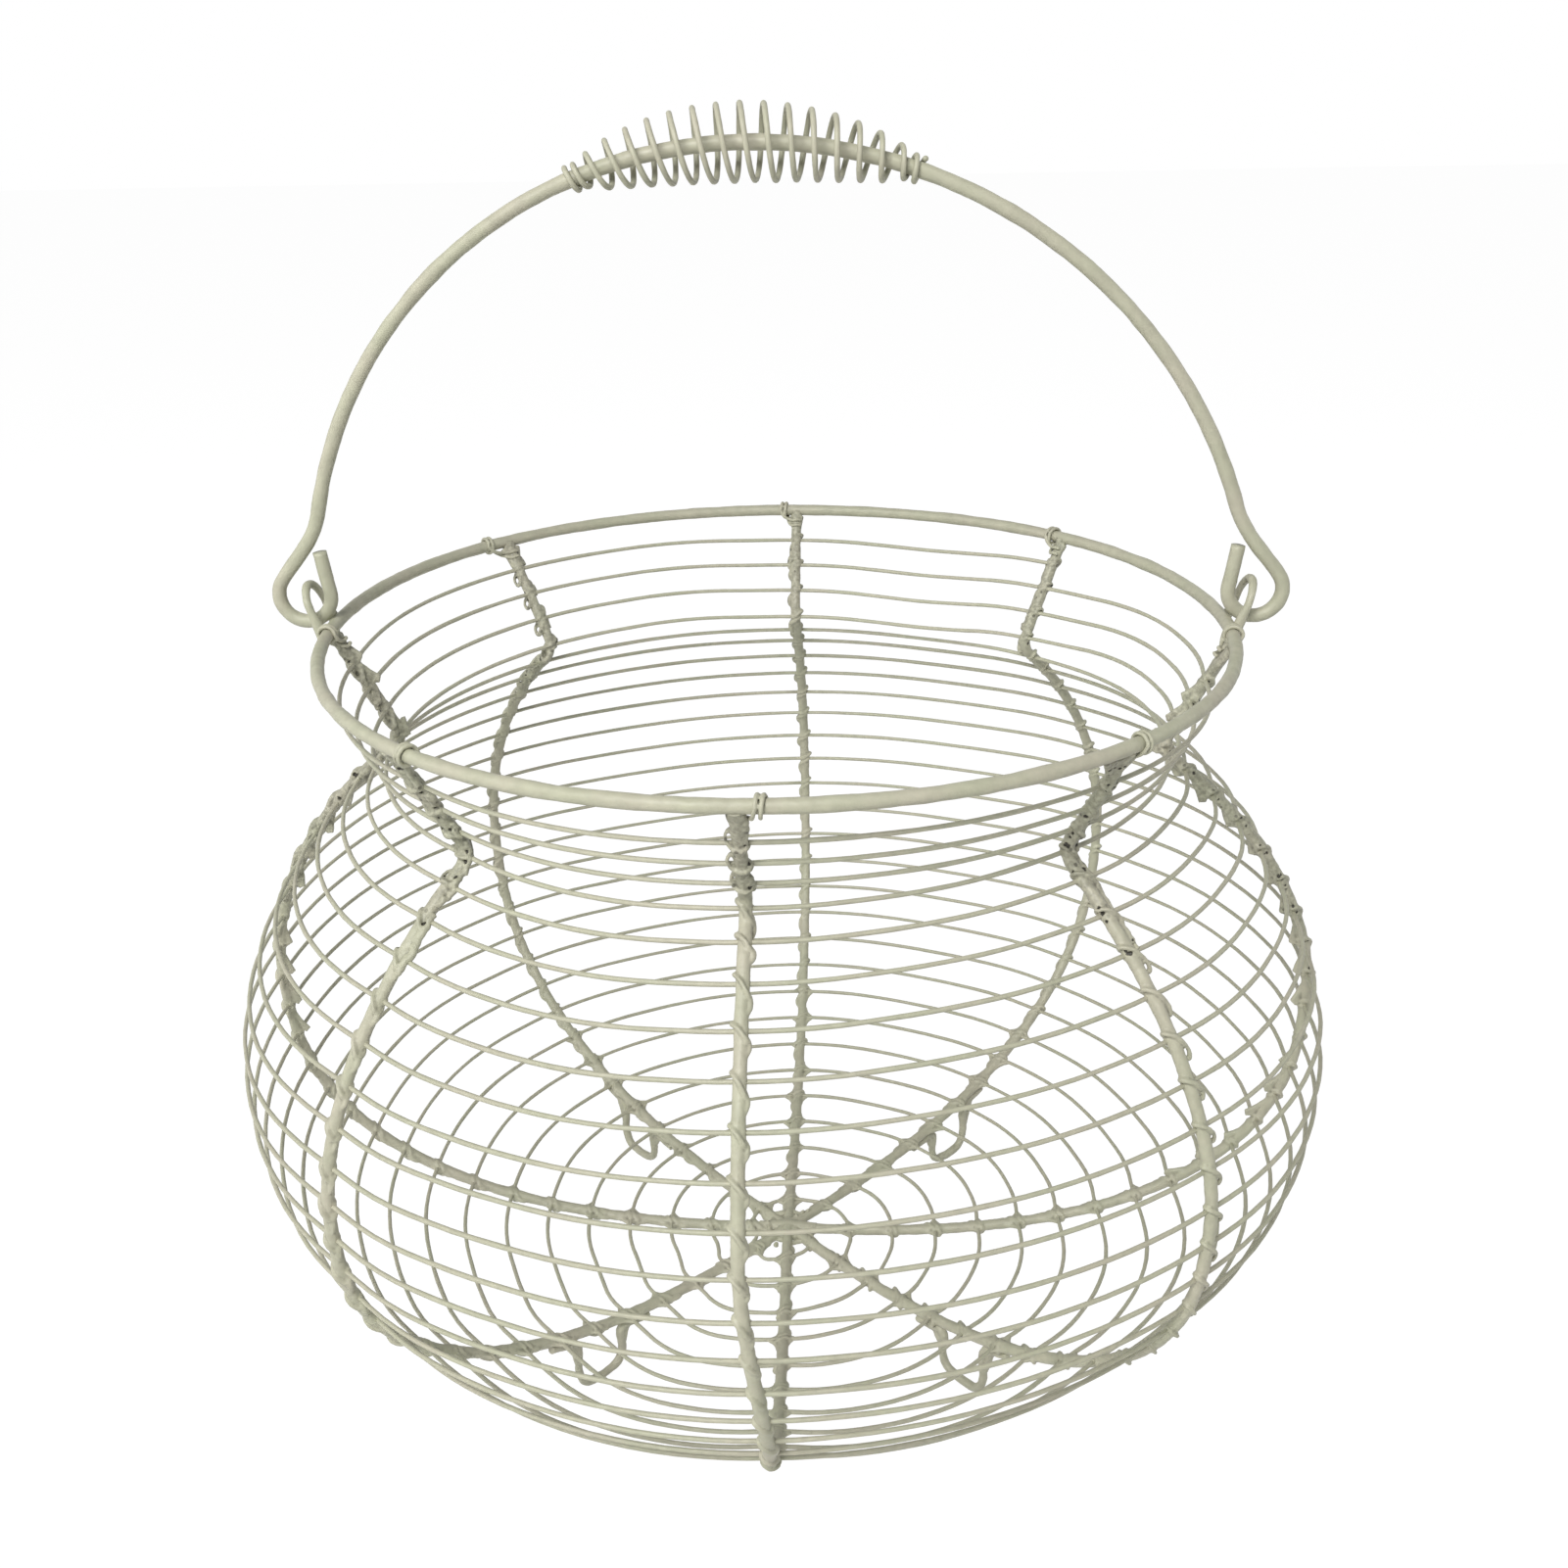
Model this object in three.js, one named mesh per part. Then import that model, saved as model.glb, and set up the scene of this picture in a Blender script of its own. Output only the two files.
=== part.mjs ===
import * as THREE from 'three';

// Wire egg basket. Eight upright ribs hang from a round rim and are bound by one fine
// wire that winds round and round from the rim to the middle of the base. Four wire
// loops under the base are its feet, and a bail with a sprung grip swings in two ears.
// Millimetres, Z up. The origin is on the ground under the middle of the basket.
// The bail swings about X, and angles round the basket count from -Y towards +X.

// Thickness of each wire
const rimWire = 3.4;
const ribWire = 2.9;
const weftWire = 1.25;
const lashingWire = 1.2;
const footWire = 2.4;
const earWire = 1.8;
const bailWire = 3.7;
const springWire = 1.4;

// Gap kept between pieces that lie against each other
const touch = 0.3;

// The wall, measured to the middle of a rib, with each height as a rise from the one below
const rimRadius = 120;
const neckRadius = 102;
const bellyRadius = 148.5;
const baseHeight = 11.1;
const bellyRise = 88.7;
const neckRise = 77.9;
const rimRise = 31.4;
const neckBend = 5;
const bellyUpperPower = 1.87;
const bellyLowerPower = 2.42;

// The rim was bent by hand and is drawn in a little near its ears
const rimPinch = 2.4;
const rimPinchTurn = 10;
const rimPinchPower = 6;
const rimLobe = 2.4;
const rimLobeTurn = 207;
const rimLobePower = 4;

// Where each rib stands, in degrees round the basket, below the belly and at the rim
const ribs = [
  { side: 'front', low: 359.3, high: 359.3 },
  { side: 'front_right', low: 43.7, high: 41.8 },
  { side: 'right', low: 86.5, high: 81.7 },
  { side: 'back_right', low: 135.1, high: 134.2 },
  { side: 'back', low: 179.1, high: 179.2 },
  { side: 'back_left', low: 225.4, high: 228 },
  { side: 'left', low: 269.1, high: 272.6 },
  { side: 'front_left', low: 316.9, high: 319.1 },
];

// How far the winding wire stands out midway between each rib and the next, at the belly
const weftBulges = [0.5, 3.7, 3.5, 2, 1, 1.5, 3, 3];

// The winding wire: where it starts below the rim and how far it drops in one turn near the
// rim, on the belly and underneath, all as shares of the way down the wall
const weftStartShare = 0.0278;
const weftRimShare = 0.0236;
const weftBellyShare = 0.0315;
const weftBaseShare = 0.0398;

// Shares of the way down between which the drop changes, at the shoulder and at the heel
const weftShoulderShares = [0.13, 0.15];
const weftHeelShares = [0.51, 0.71];

const weftStartBay = 4;
const weftStepsPerBay = 3;

// The winding wire in lengths, from the rim down, with the turns that each one holds
const weftBands = [
  { name: 'weft_neck', turns: 4 },
  { name: 'weft_shoulder', turns: 4 },
  { name: 'weft_upper_belly', turns: 4 },
  { name: 'weft_lower_belly', turns: 4 },
  { name: 'weft_heel', turns: 4 },
  { name: 'weft_base_outer', turns: 4 },
  { name: 'weft_base_inner', turns: 4.75 },
];

// Lashings that tie each rib to the rim, with two strands side by side over it
const lashingOffset = 3;
const lashingDrop = 7;
const lashingStep = 45;

// Feet, which hang from the four ribs between the main ones
const footRibs = ['front_right', 'back_right', 'back_left', 'front_left'];
const footRadius = 74.3;
const footWidth = 15;
const footBend = 5.2;
const footTail = 9;

// Ears, which stand on the outside of the rim at both ends of the swing axis
const earWidth = 12;
const earRise = 10.8;
const earLean = 3.6;
const earTuck = 50;

// Bail: the hooks' middles stand outside the rim, and the arch over them is half an ellipse
const hookRadius = 7;
const hookOutset = 7.39;
const hookLeg = 11;
const hookOuterAngle = 39;
const hookInnerAngle = 172;
const archInset = 1.4;
const archDip = 13.1;
const archRise = 110.7;
const archSkew = 4.2;
const shoulderBend = 6;

// Grip spring
const springTurns = 18;
const springShift = 1;
const springRadius = 8.6;
const springPitch = 5.3;
const springClosePitch = 2.2;
const springCloseTurns = 1.5;
const springEaseTurns = 1;
const springWidenPower = 0.7;

// How finely the wires are drawn
const wireSides = 8;
const earSides = 6;
const fineSides = 5;
const rimSteps = 72;
const neckSteps = 4;
const bellySteps = 23;
const outlineSamples = 120;
const outlineBendSteps = 8;
const footBendSteps = 3;
const earTuckSteps = 2;
const earLoopSteps = 4;
const bailSteps = 6;
const springSteps = 8;
const gapSteps = 48;
const up = new THREE.Vector3(0, 0, 1);

// Small helpers

const radians = THREE.MathUtils.degToRad;

function outwardAt(azimuth) {
  return new THREE.Vector3(Math.sin(azimuth), -Math.cos(azimuth), 0);
}

function alongAt(azimuth) {
  return new THREE.Vector3(Math.cos(azimuth), Math.sin(azimuth), 0);
}

// A round wire through a list of points, with mitred corners at each point.
// firstNormal fixes which way the first flat of the wire faces. An endless wire joins
// its last point to its first, and any other wire has a flat at both ends.
function wire(points, thickness, sides, firstNormal, endless = false) {
  const count = points.length;
  const stretch = (i) => new THREE.Vector3()
    .subVectors(points[(i + 1 + count) % count], points[(i + count) % count])
    .normalize();
  const corners = [];
  const normal = firstNormal.clone();
  for (let i = 0; i < count; i += 1) {
    const into = !endless && i === 0 ? stretch(0) : stretch(i - 1);
    const outOf = !endless && i === count - 1 ? into : stretch(i);
    const mitre = into.clone().add(outOf).normalize();
    normal.addScaledVector(into, -normal.dot(into)).normalize();
    const side = new THREE.Vector3().crossVectors(into, normal);
    for (let j = 0; j < sides; j += 1) {
      const angle = ((j + 0.5) / sides) * 2 * Math.PI;
      const corner = new THREE.Vector3()
        .addScaledVector(normal, Math.cos(angle) * thickness / 2)
        .addScaledVector(side, Math.sin(angle) * thickness / 2);
      corner.addScaledVector(into, -corner.dot(mitre) / into.dot(mitre)).add(points[i]);
      corners.push(...corner.toArray());
    }
    normal.applyQuaternion(new THREE.Quaternion().setFromUnitVectors(into, outOf));
  }
  const faces = loopFaces(count, sides);
  const geometry = new THREE.BufferGeometry();
  geometry.setAttribute('position', new THREE.Float32BufferAttribute(corners, 3));
  geometry.setIndex(endless ? faces : openFaces(faces, count, sides));
  geometry.computeVertexNormals();
  return geometry;
}

// Faces between each ring of corners and the next, and between the last and the first
function loopFaces(rings, sides) {
  const faces = [];
  for (let i = 0; i < rings; i += 1) {
    const next = (i + 1) % rings;
    for (let j = 0; j < sides; j += 1) {
      const k = (j + 1) % sides;
      const [a, b, c, d] = [i * sides + j, i * sides + k, next * sides + k, next * sides + j];
      faces.push(a, b, c, a, c, d);
    }
  }
  return faces;
}

// The same faces without those that join the last ring to the first, and with flat ends
function openFaces(faces, rings, sides) {
  const last = (rings - 1) * sides;
  const open = faces.slice(0, last * 6);
  for (let j = 1; j + 1 < sides; j += 1) {
    open.push(0, j + 1, j);
    open.push(last, last + j, last + j + 1);
  }
  return open;
}

function painted(name, geometry) {
  const paint = new THREE.MeshStandardMaterial({ color: 0xaca995, roughness: 0.55, metalness: 0 });
  const mesh = new THREE.Mesh(geometry, paint);
  mesh.name = name;
  return mesh;
}

// The wall's outline, as radius and height, from the middle of the rim wire
// down to the middle of the base

const bellyHeight = baseHeight + bellyRise;
const neckHeight = bellyHeight + neckRise;
const rimHeight = neckHeight + rimRise;

function bellyOutline() {
  const neckShare = (neckRadius / bellyRadius) ** bellyUpperPower;
  const rise = neckRise / (1 - neckShare) ** (1 / bellyUpperPower);
  const neckAngle = Math.acos(Math.sqrt(neckShare));
  const outline = [];
  for (let i = 0; i < outlineSamples; i += 1) {
    const angle = neckAngle * (1 - i / outlineSamples);
    const radius = bellyRadius * Math.cos(angle) ** (2 / bellyUpperPower);
    const height = bellyHeight + rise * Math.sin(angle) ** (2 / bellyUpperPower);
    outline.push(new THREE.Vector2(radius, height));
  }
  for (let i = 0; i < outlineSamples; i += 1) {
    const angle = (i / outlineSamples) * Math.PI / 2;
    const radius = bellyRadius * Math.cos(angle) ** (2 / bellyLowerPower);
    const height = bellyHeight - bellyRise * Math.sin(angle) ** (2 / bellyLowerPower);
    outline.push(new THREE.Vector2(radius, height));
  }
  outline.push(new THREE.Vector2(0, baseHeight));
  return outline;
}

function wallOutline() {
  const rim = new THREE.Vector2(rimRadius, rimHeight);
  const neck = new THREE.Vector2(neckRadius, neckHeight);
  const flare = neck.distanceTo(rim);
  const bendStart = neck.clone().lerp(rim, neckBend / flare);
  const belly = bellyOutline().filter((point) => point.distanceTo(neck) > neckBend);
  const bend = new THREE.QuadraticBezierCurve(bendStart, neck, belly[0]).getPoints(outlineBendSteps);
  return [rim, ...bend, ...belly.slice(1)];
}

const outline = wallOutline();
const outlineLengths = outline.reduce((lengths, point, i) => {
  const step = i === 0 ? 0 : point.distanceTo(outline[i - 1]);
  return [...lengths, (lengths[i - 1] ?? 0) + step];
}, []);
const wallLength = outlineLengths[outlineLengths.length - 1];
const bendLength = outlineLengths[1];
const bellyLength = outlineLengths[outline.findIndex((point) => point.y <= bellyHeight)];

// The place on the outline at a distance along it from the rim
function outlineAt(length) {
  const found = outlineLengths.findIndex((reached) => reached > length);
  const next = found < 1 ? (length <= 0 ? 1 : outline.length - 1) : found;
  const share = (length - outlineLengths[next - 1]) / (outlineLengths[next] - outlineLengths[next - 1]);
  return outline[next - 1].clone().lerp(outline[next], Math.min(share, 1));
}

// How far the rim is drawn in at an azimuth
function pinchAt(azimuth) {
  const lobe = Math.max(Math.cos(azimuth - radians(rimLobeTurn)), 0) ** rimLobePower;
  return rimPinch * Math.sin(azimuth - radians(rimPinchTurn)) ** rimPinchPower - rimLobe * lobe;
}

// The same place moved square to the wall, outwards where offset is positive
function wallAt(length, azimuth, offset) {
  const middle = outlineAt(length);
  const reach = ribWire / 2;
  const before = outlineAt(Math.max(length - reach, 0));
  const after = outlineAt(Math.min(length + reach, wallLength));
  const along = after.sub(before).normalize();
  const pinched = pinchAt(azimuth) * Math.max(1 - length / bendLength, 0);
  const radius = middle.x - along.y * offset - pinched;
  const height = middle.y + along.x * offset;
  return outwardAt(azimuth).multiplyScalar(radius).addScaledVector(up, height);
}

// The length down the wall at which its underside has a radius
function lengthAtRadius(radius) {
  const found = outline.findIndex((point, i) => outlineLengths[i] > bellyLength && point.x < radius);
  return outlineLengths[found];
}

// Rim and ribs

function rimRing() {
  const points = [];
  for (let step = 0; step < rimSteps; step += 1) {
    points.push(wallAt(0, (step / rimSteps) * 2 * Math.PI, 0));
  }
  return painted('rim_ring', wire(points, rimWire, wireSides, up, true));
}

const ribTop = rimWire / 2 + touch;

// Distances along the wall for a rib that stops a little way from the middle of the base
function ribLengths(stop) {
  const lengths = [ribTop];
  const bendEnd = bendLength + 2 * neckBend;
  for (let i = 0; i <= neckSteps; i += 1) {
    lengths.push(bendLength + (bendEnd - bendLength) * i / neckSteps);
  }
  for (let i = 1; i <= bellySteps; i += 1) {
    lengths.push(bendEnd + (wallLength - stop - bendEnd) * i / bellySteps);
  }
  return lengths;
}

// Azimuth of a rib at a length down the wall: it turns a little between belly and rim
function ribAzimuth({ low, high }, length) {
  const share = Math.max(1 - length / bellyLength, 0);
  return radians(THREE.MathUtils.lerp(low, high, share));
}

function ribNamed(wanted) {
  return ribs.find(({ side }) => side === wanted);
}

function ribPoints(rib, stop) {
  return ribLengths(stop).map((length) => wallAt(length, ribAzimuth(rib, length), 0));
}

// The left and right ribs are one wire, and the other six stop against it
function ribHoop() {
  const [left, right] = [ribNamed('left'), ribNamed('right')];
  const leftPoints = ribPoints(left, ribWire).reverse();
  const middle = new THREE.Vector3(0, 0, baseHeight);
  const points = [...ribPoints(right, ribWire), middle, ...leftPoints];
  return painted('rib_hoop_left_right', wire(points, ribWire, wireSides, alongAt(ribAzimuth(right, 0))));
}

function halfRib(side) {
  const rib = ribNamed(side);
  const square = ribWire / 2 + touch;
  const crowded = (square + ribWire / 2) * Math.SQRT2;
  const stop = side === 'front' || side === 'back' ? square : crowded;
  const points = ribPoints(rib, stop);
  return painted(`rib_${side}`, wire(points, ribWire, wireSides, alongAt(ribAzimuth(rib, 0))));
}

// Winding wire, which runs just inside the ribs

const weftInset = ribWire / 2 + touch + weftWire / 2;
const stepsPerTurn = ribs.length * weftStepsPerBay;

// How far the wire drops in one turn, at a share of the way down the wall
function dropAt(share) {
  const shoulder = THREE.MathUtils.smoothstep(share, ...weftShoulderShares);
  const heel = THREE.MathUtils.smoothstep(share, ...weftHeelShares);
  const above = THREE.MathUtils.lerp(weftRimShare, weftBellyShare, shoulder);
  return THREE.MathUtils.lerp(above, weftBaseShare, heel);
}

// The place of a step, which counts three to each bay between two ribs
function weftPoint(step, length) {
  const bay = Math.floor(step / weftStepsPerBay);
  const share = step / weftStepsPerBay - bay;
  const here = ribAzimuth(ribs[bay % ribs.length], length);
  const next = ribAzimuth(ribs[(bay + 1) % ribs.length], length);
  const width = (next - here + 2 * Math.PI) % (2 * Math.PI);
  const hump = 4 * share * (1 - share) * outlineAt(length).x / bellyRadius;
  const azimuth = here + width * share;
  const bulge = outwardAt(azimuth).multiplyScalar(weftBulges[bay % ribs.length] * hump);
  return wallAt(length, azimuth, -weftInset).add(bulge);
}

// Every step of the winding from the rim to the middle of the base
function weftPoints() {
  const turns = weftBands.reduce((sum, band) => sum + band.turns, 0);
  const first = weftStartBay * weftStepsPerBay;
  const last = first + turns * stepsPerTurn;
  const points = [];
  let share = weftStartShare;
  for (let step = first; step <= last; step += 1) {
    points.push(weftPoint(step, share * wallLength));
    share += dropAt(share) / stepsPerTurn;
  }
  return points;
}

// One length of the winding; both its ends are cut back so that the lengths don't meet
function weftBand(name, points) {
  cutBack(points, touch / 2);
  cutBack(points.reverse(), touch / 2);
  return painted(name, wire(points.reverse(), weftWire, fineSides, up));
}

function cutBack(points, amount) {
  const [first, second] = points;
  points[0] = first.clone().lerp(second, amount / first.distanceTo(second));
}

function weft() {
  const points = weftPoints();
  const bands = [];
  let from = 0;
  for (const { name, turns } of weftBands) {
    const to = from + turns * stepsPerTurn;
    bands.push(weftBand(name, points.slice(from, to + 1)));
    from = to;
  }
  return bands;
}

// Rim lashings: each one goes round its rib, twice round the rim and back behind the rib

function lashing(rib) {
  const azimuth = ribAzimuth(rib, 0);
  const out = outwardAt(azimuth);
  const along = alongAt(azimuth);
  const centre = wallAt(0, azimuth, 0);
  const down = wallAt(lashingDrop, azimuth, 0).sub(centre).normalize();
  const face = new THREE.Vector3().crossVectors(down, along).normalize();
  const slack = 1 / Math.cos(radians(lashingStep / 2));
  const roundRib = (ribWire / 2 + touch + lashingWire / 2) * slack;
  const roundRim = (rimWire / 2 + touch + lashingWire / 2) * slack;
  const strands = lashingWire + touch;
  const atRib = (drop, angle) => centre.clone()
    .addScaledVector(down, drop)
    .addScaledVector(along, Math.cos(radians(angle)) * roundRib)
    .addScaledVector(face, Math.sin(radians(angle)) * roundRib);
  const overRim = (angle) => centre.clone()
    .addScaledVector(along, lashingOffset + strands * radians(angle) / (2 * Math.PI))
    .addScaledVector(out, Math.cos(radians(angle)) * roundRim)
    .addScaledVector(up, Math.sin(radians(angle)) * roundRim);
  const route = [];
  for (let step = 4; step >= 1; step -= 1) {
    route.push(atRib(lashingDrop, step * lashingStep));
  }
  for (let step = 0; step <= 12; step += 1) {
    route.push(overRim(step * lashingStep));
  }
  for (let step = 1; step <= 3; step += 1) {
    route.push(atRib(lashingDrop - 2 * strands, -step * lashingStep));
  }
  return painted(`rim_lashing_${rib.side}`, wire(route, lashingWire, fineSides, down));
}

// Feet: an upright loop of wire below its rib, with a tail that lies along the rib on both sides

function foot(side) {
  const rib = ribNamed(side);
  const azimuth = ribAzimuth(rib, wallLength);
  const under = ribWire / 2 + touch + footWire / 2;
  const inner = footRadius - footWidth / 2;
  const outer = footRadius + footWidth / 2;
  const flat = (footWire / 2) * Math.cos(Math.PI / wireSides);
  const below = (radius) => wallAt(lengthAtRadius(radius), azimuth, under);
  const onGround = (radius) => outwardAt(azimuth).multiplyScalar(radius).addScaledVector(up, flat);
  const stops = [
    below(outer + footTail),
    below(outer),
    onGround(outer),
    onGround(inner),
    below(inner),
    below(inner - footTail),
  ];
  const path = roundedRoute(stops, [footWire, footBend, footBend, footWire]);
  return painted(`foot_${side}`, wire(path, footWire, wireSides, alongAt(azimuth)));
}

// Points along straight stretches between the stops, with a rounded bend at each inner stop
function roundedRoute(stops, bends) {
  const points = [stops[0]];
  bends.forEach((bend, i) => {
    const corner = stops[i + 1];
    const into = corner.clone().lerp(stops[i], bend / corner.distanceTo(stops[i]));
    const outOf = corner.clone().lerp(stops[i + 2], bend / corner.distanceTo(stops[i + 2]));
    points.push(...new THREE.QuadraticBezierCurve3(into, corner, outOf).getPoints(footBendSteps));
  });
  points.push(stops[stops.length - 1]);
  return points;
}

// Ears: a leg hooks under the rim from outside, rises past it and makes a loop that leans
// outwards, where the bail's hook hangs

function ear(name, azimuth) {
  const out = outwardAt(azimuth);
  const along = alongAt(azimuth);
  const rimX = rimRadius - pinchAt(azimuth);
  const half = earWidth / 2;
  const roundRim = rimWire / 2 + touch + earWire / 2;
  const place = (outwards, sideways, rise) => new THREE.Vector3(0, 0, rimHeight + rise)
    .addScaledVector(out, outwards)
    .addScaledVector(along, sideways);
  const leg = [];
  for (let step = earTuckSteps; step > 0; step -= 1) {
    const angle = radians(earTuck * step / earTuckSteps);
    leg.push([rimX + roundRim * Math.cos(angle), half, -roundRim * Math.sin(angle)]);
  }
  for (let step = 0; step <= earLoopSteps; step += 1) {
    const angle = Math.PI / 2 * step / earLoopSteps;
    const rise = earRise - half + half * Math.sin(angle);
    const lean = earLean * rise / earRise;
    leg.push([rimX + roundRim + lean, half * Math.cos(angle), rise]);
  }
  const otherLeg = leg.slice(0, -1).reverse().map(([x, y, z]) => [x, -y, z]);
  const route = [...leg, ...otherLeg].map(([x, y, z]) => place(x, y, z));
  return painted(name, wire(route, earWire, earSides, along));
}

// Bail: an arch with a hook at each end, drawn for its right half and mirrored

const rimAtHook = rimRadius - pinchAt(Math.PI / 2);
const hookToRim = hookRadius + bailWire / 2 + touch + rimWire / 2;
const hookX = rimAtHook + hookOutset;
const hookZ = rimHeight + Math.sqrt(hookToRim ** 2 - hookOutset ** 2);
const archWidth = hookX - archInset;
const archHeight = archRise + archDip;
const archFoot = hookZ - archDip;

// A place on the arch, where an angle of 0 is its widest place and a quarter turn its top
function archAt(angle) {
  return new THREE.Vector2(archWidth * Math.cos(angle), archFoot + archHeight * Math.sin(angle));
}

function hookAt(degrees) {
  const angle = radians(degrees);
  return new THREE.Vector2(hookX + hookRadius * Math.cos(angle), hookZ + hookRadius * Math.sin(angle));
}

// The angle on the arch where the straight shoulder above the hook runs into it
function shoulderAngle() {
  const slope = radians(hookOuterAngle);
  const shape = new THREE.Vector2(1 / archWidth, 1 / archHeight);
  const start = hookAt(hookOuterAngle).sub(new THREE.Vector2(0, archFoot)).multiply(shape);
  const direction = new THREE.Vector2(-Math.sin(slope), Math.cos(slope)).multiply(shape);
  const steep = direction.lengthSq();
  const near = start.dot(direction) / steep;
  const reach = -near - Math.sqrt(near ** 2 - (start.lengthSq() - 1) / steep);
  const place = start.addScaledVector(direction, reach);
  return Math.atan2(place.y, place.x);
}

const shoulderTurn = shoulderAngle();
const shoulder = archAt(shoulderTurn);

function halfBail() {
  const archStart = shoulderTurn + shoulderBend / archHeight;
  const hookEnd = hookAt(hookOuterAngle);
  const bendStart = shoulder.clone().lerp(hookEnd, shoulderBend / shoulder.distanceTo(hookEnd));
  const bendEnd = archAt(archStart);
  const legAngle = radians(hookInnerAngle);
  const legFoot = hookAt(hookInnerAngle);
  const half = new THREE.Path();
  half.moveTo(legFoot.x + hookLeg * Math.sin(legAngle), legFoot.y - hookLeg * Math.cos(legAngle));
  half.lineTo(legFoot.x, legFoot.y);
  half.absarc(hookX, hookZ, hookRadius, legAngle, 2 * Math.PI + radians(hookOuterAngle), false);
  half.lineTo(bendStart.x, bendStart.y);
  half.quadraticCurveTo(shoulder.x, shoulder.y, bendEnd.x, bendEnd.y);
  half.absellipse(0, archFoot, archWidth, archHeight, archStart, Math.PI / 2, false, 0);
  return half.getPoints(bailSteps);
}

// The arch was bent a little to the left, more towards its top
function skewed(x, z) {
  const share = Math.max((z - shoulder.y) / (archFoot + archHeight - shoulder.y), 0);
  return new THREE.Vector3(x - archSkew * share, 0, z);
}

function bail() {
  const right = halfBail();
  const left = right.slice(0, -1).reverse().map((point) => skewed(-point.x, point.y));
  const points = [...right.map((point) => skewed(point.x, point.y)), ...left];
  return painted('bail', wire(points, bailWire, wireSides, new THREE.Vector3(0, 1, 0)));
}

// Grip spring: close turns that hold the bail at both ends, and wide open ones between them

const springHold = bailWire / 2 + touch + springWire / 2;

// How far the spring moves along in one turn, at a number of turns from its nearer end
function springPitchAt(turns) {
  const closed = springCloseTurns - springEaseTurns / 2;
  const open = THREE.MathUtils.smoothstep(turns, closed, closed + springEaseTurns);
  return THREE.MathUtils.lerp(springClosePitch, springPitch, open);
}

function springRadiusAt(turns) {
  const share = Math.max(turns - springCloseTurns, 0) / (springTurns / 2 - springCloseTurns);
  const wide = Math.sin(share * Math.PI / 2) ** springWidenPower;
  return THREE.MathUtils.lerp(springHold, springRadius, wide);
}

function springPoints(steps) {
  const count = springTurns * steps;
  const moves = [];
  for (let i = 0; i < count; i += 1) {
    moves.push(springPitchAt(Math.min(i + 0.5, count - i - 0.5) / steps) / steps);
  }
  const points = [];
  let along = -moves.reduce((sum, move) => sum + move, 0) / 2 - springShift;
  for (let i = 0; i <= count; i += 1) {
    const radius = springRadiusAt(Math.min(i, count - i) / steps);
    points.push(roundBail(along, radius, (i / steps) * 2 * Math.PI));
    along += moves[i] ?? 0;
  }
  return points;
}

// A place beside the arch: a way along it from the top, a distance from it and an angle round it
function roundBail(along, radius, angle) {
  const arch = Math.PI / 2 - along / archWidth;
  const middle = archAt(arch);
  const out = new THREE.Vector2(Math.cos(arch) / archWidth, Math.sin(arch) / archHeight);
  const beside = middle.addScaledVector(out.normalize(), radius * Math.cos(angle));
  const point = skewed(beside.x, beside.y);
  point.y = -radius * Math.sin(angle);
  return point;
}

// The least gap between neighbouring turns of the spring, measured on many points
function springGap() {
  const points = springPoints(gapSteps);
  let least = Infinity;
  for (let i = 0; i < points.length; i += 1) {
    for (let j = i + gapSteps / 2; j < Math.min(i + 2 * gapSteps, points.length); j += 1) {
      least = Math.min(least, points[i].distanceTo(points[j]));
    }
  }
  return least - springWire;
}

function gripSpring() {
  return painted('grip_spring', wire(springPoints(springSteps), springWire, fineSides, up));
}

// Assembly

const halfRibs = ribs.filter(({ side }) => side !== 'left' && side !== 'right');

const basket = new THREE.Group();
basket.add(rimRing());
basket.add(ribHoop());
basket.add(...halfRibs.map(({ side }) => halfRib(side)));
basket.add(...weft());
basket.add(...ribs.map(lashing));
basket.add(...footRibs.map(foot));
basket.add(ear('ear_left', -Math.PI / 2));
basket.add(ear('ear_right', Math.PI / 2));

const handle = new THREE.Group();
handle.add(bail());
handle.add(gripSpring());

console.log(`grip spring: least gap between turns ${springGap().toFixed(2)} mm`);

const eggBasket = new THREE.Group();
eggBasket.add(basket);
eggBasket.add(handle);

export default eggBasket;
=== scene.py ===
# %% [markdown]
# # A painted wire egg basket
#
# This lesson dresses a round-bellied basket that was bent by hand from iron wire and
# dipped in thick grey-green paint. The working model already has the rim, the ribs, the
# winding wire, the feet and the swinging handle at their real sizes. What it lacks is
# what makes the object look old and hand-made: the turn that the fine wire takes round
# every rib, the paint that fills the corners, and the small lumps and pits in it.
#
# We start by loading that model as a fixed frame. Everything that we make is placed in
# its millimetres and rides on its two bodies, the basket and the handle.

import math
import random

import bmesh
import bpy
from mathutils import Matrix, Vector, kdtree, noise


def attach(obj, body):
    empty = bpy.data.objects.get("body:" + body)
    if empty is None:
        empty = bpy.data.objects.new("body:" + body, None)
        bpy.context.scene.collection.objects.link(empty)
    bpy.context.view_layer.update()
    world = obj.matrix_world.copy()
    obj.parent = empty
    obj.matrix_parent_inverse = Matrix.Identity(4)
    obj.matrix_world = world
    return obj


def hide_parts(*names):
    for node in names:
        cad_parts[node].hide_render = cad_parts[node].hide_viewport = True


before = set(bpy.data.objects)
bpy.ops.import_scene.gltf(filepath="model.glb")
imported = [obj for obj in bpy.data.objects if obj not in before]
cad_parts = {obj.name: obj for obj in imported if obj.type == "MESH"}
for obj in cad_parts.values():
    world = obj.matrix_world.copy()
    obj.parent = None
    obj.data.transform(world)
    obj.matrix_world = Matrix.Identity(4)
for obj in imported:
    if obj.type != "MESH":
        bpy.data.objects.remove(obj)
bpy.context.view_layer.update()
MM = 0.001

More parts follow.
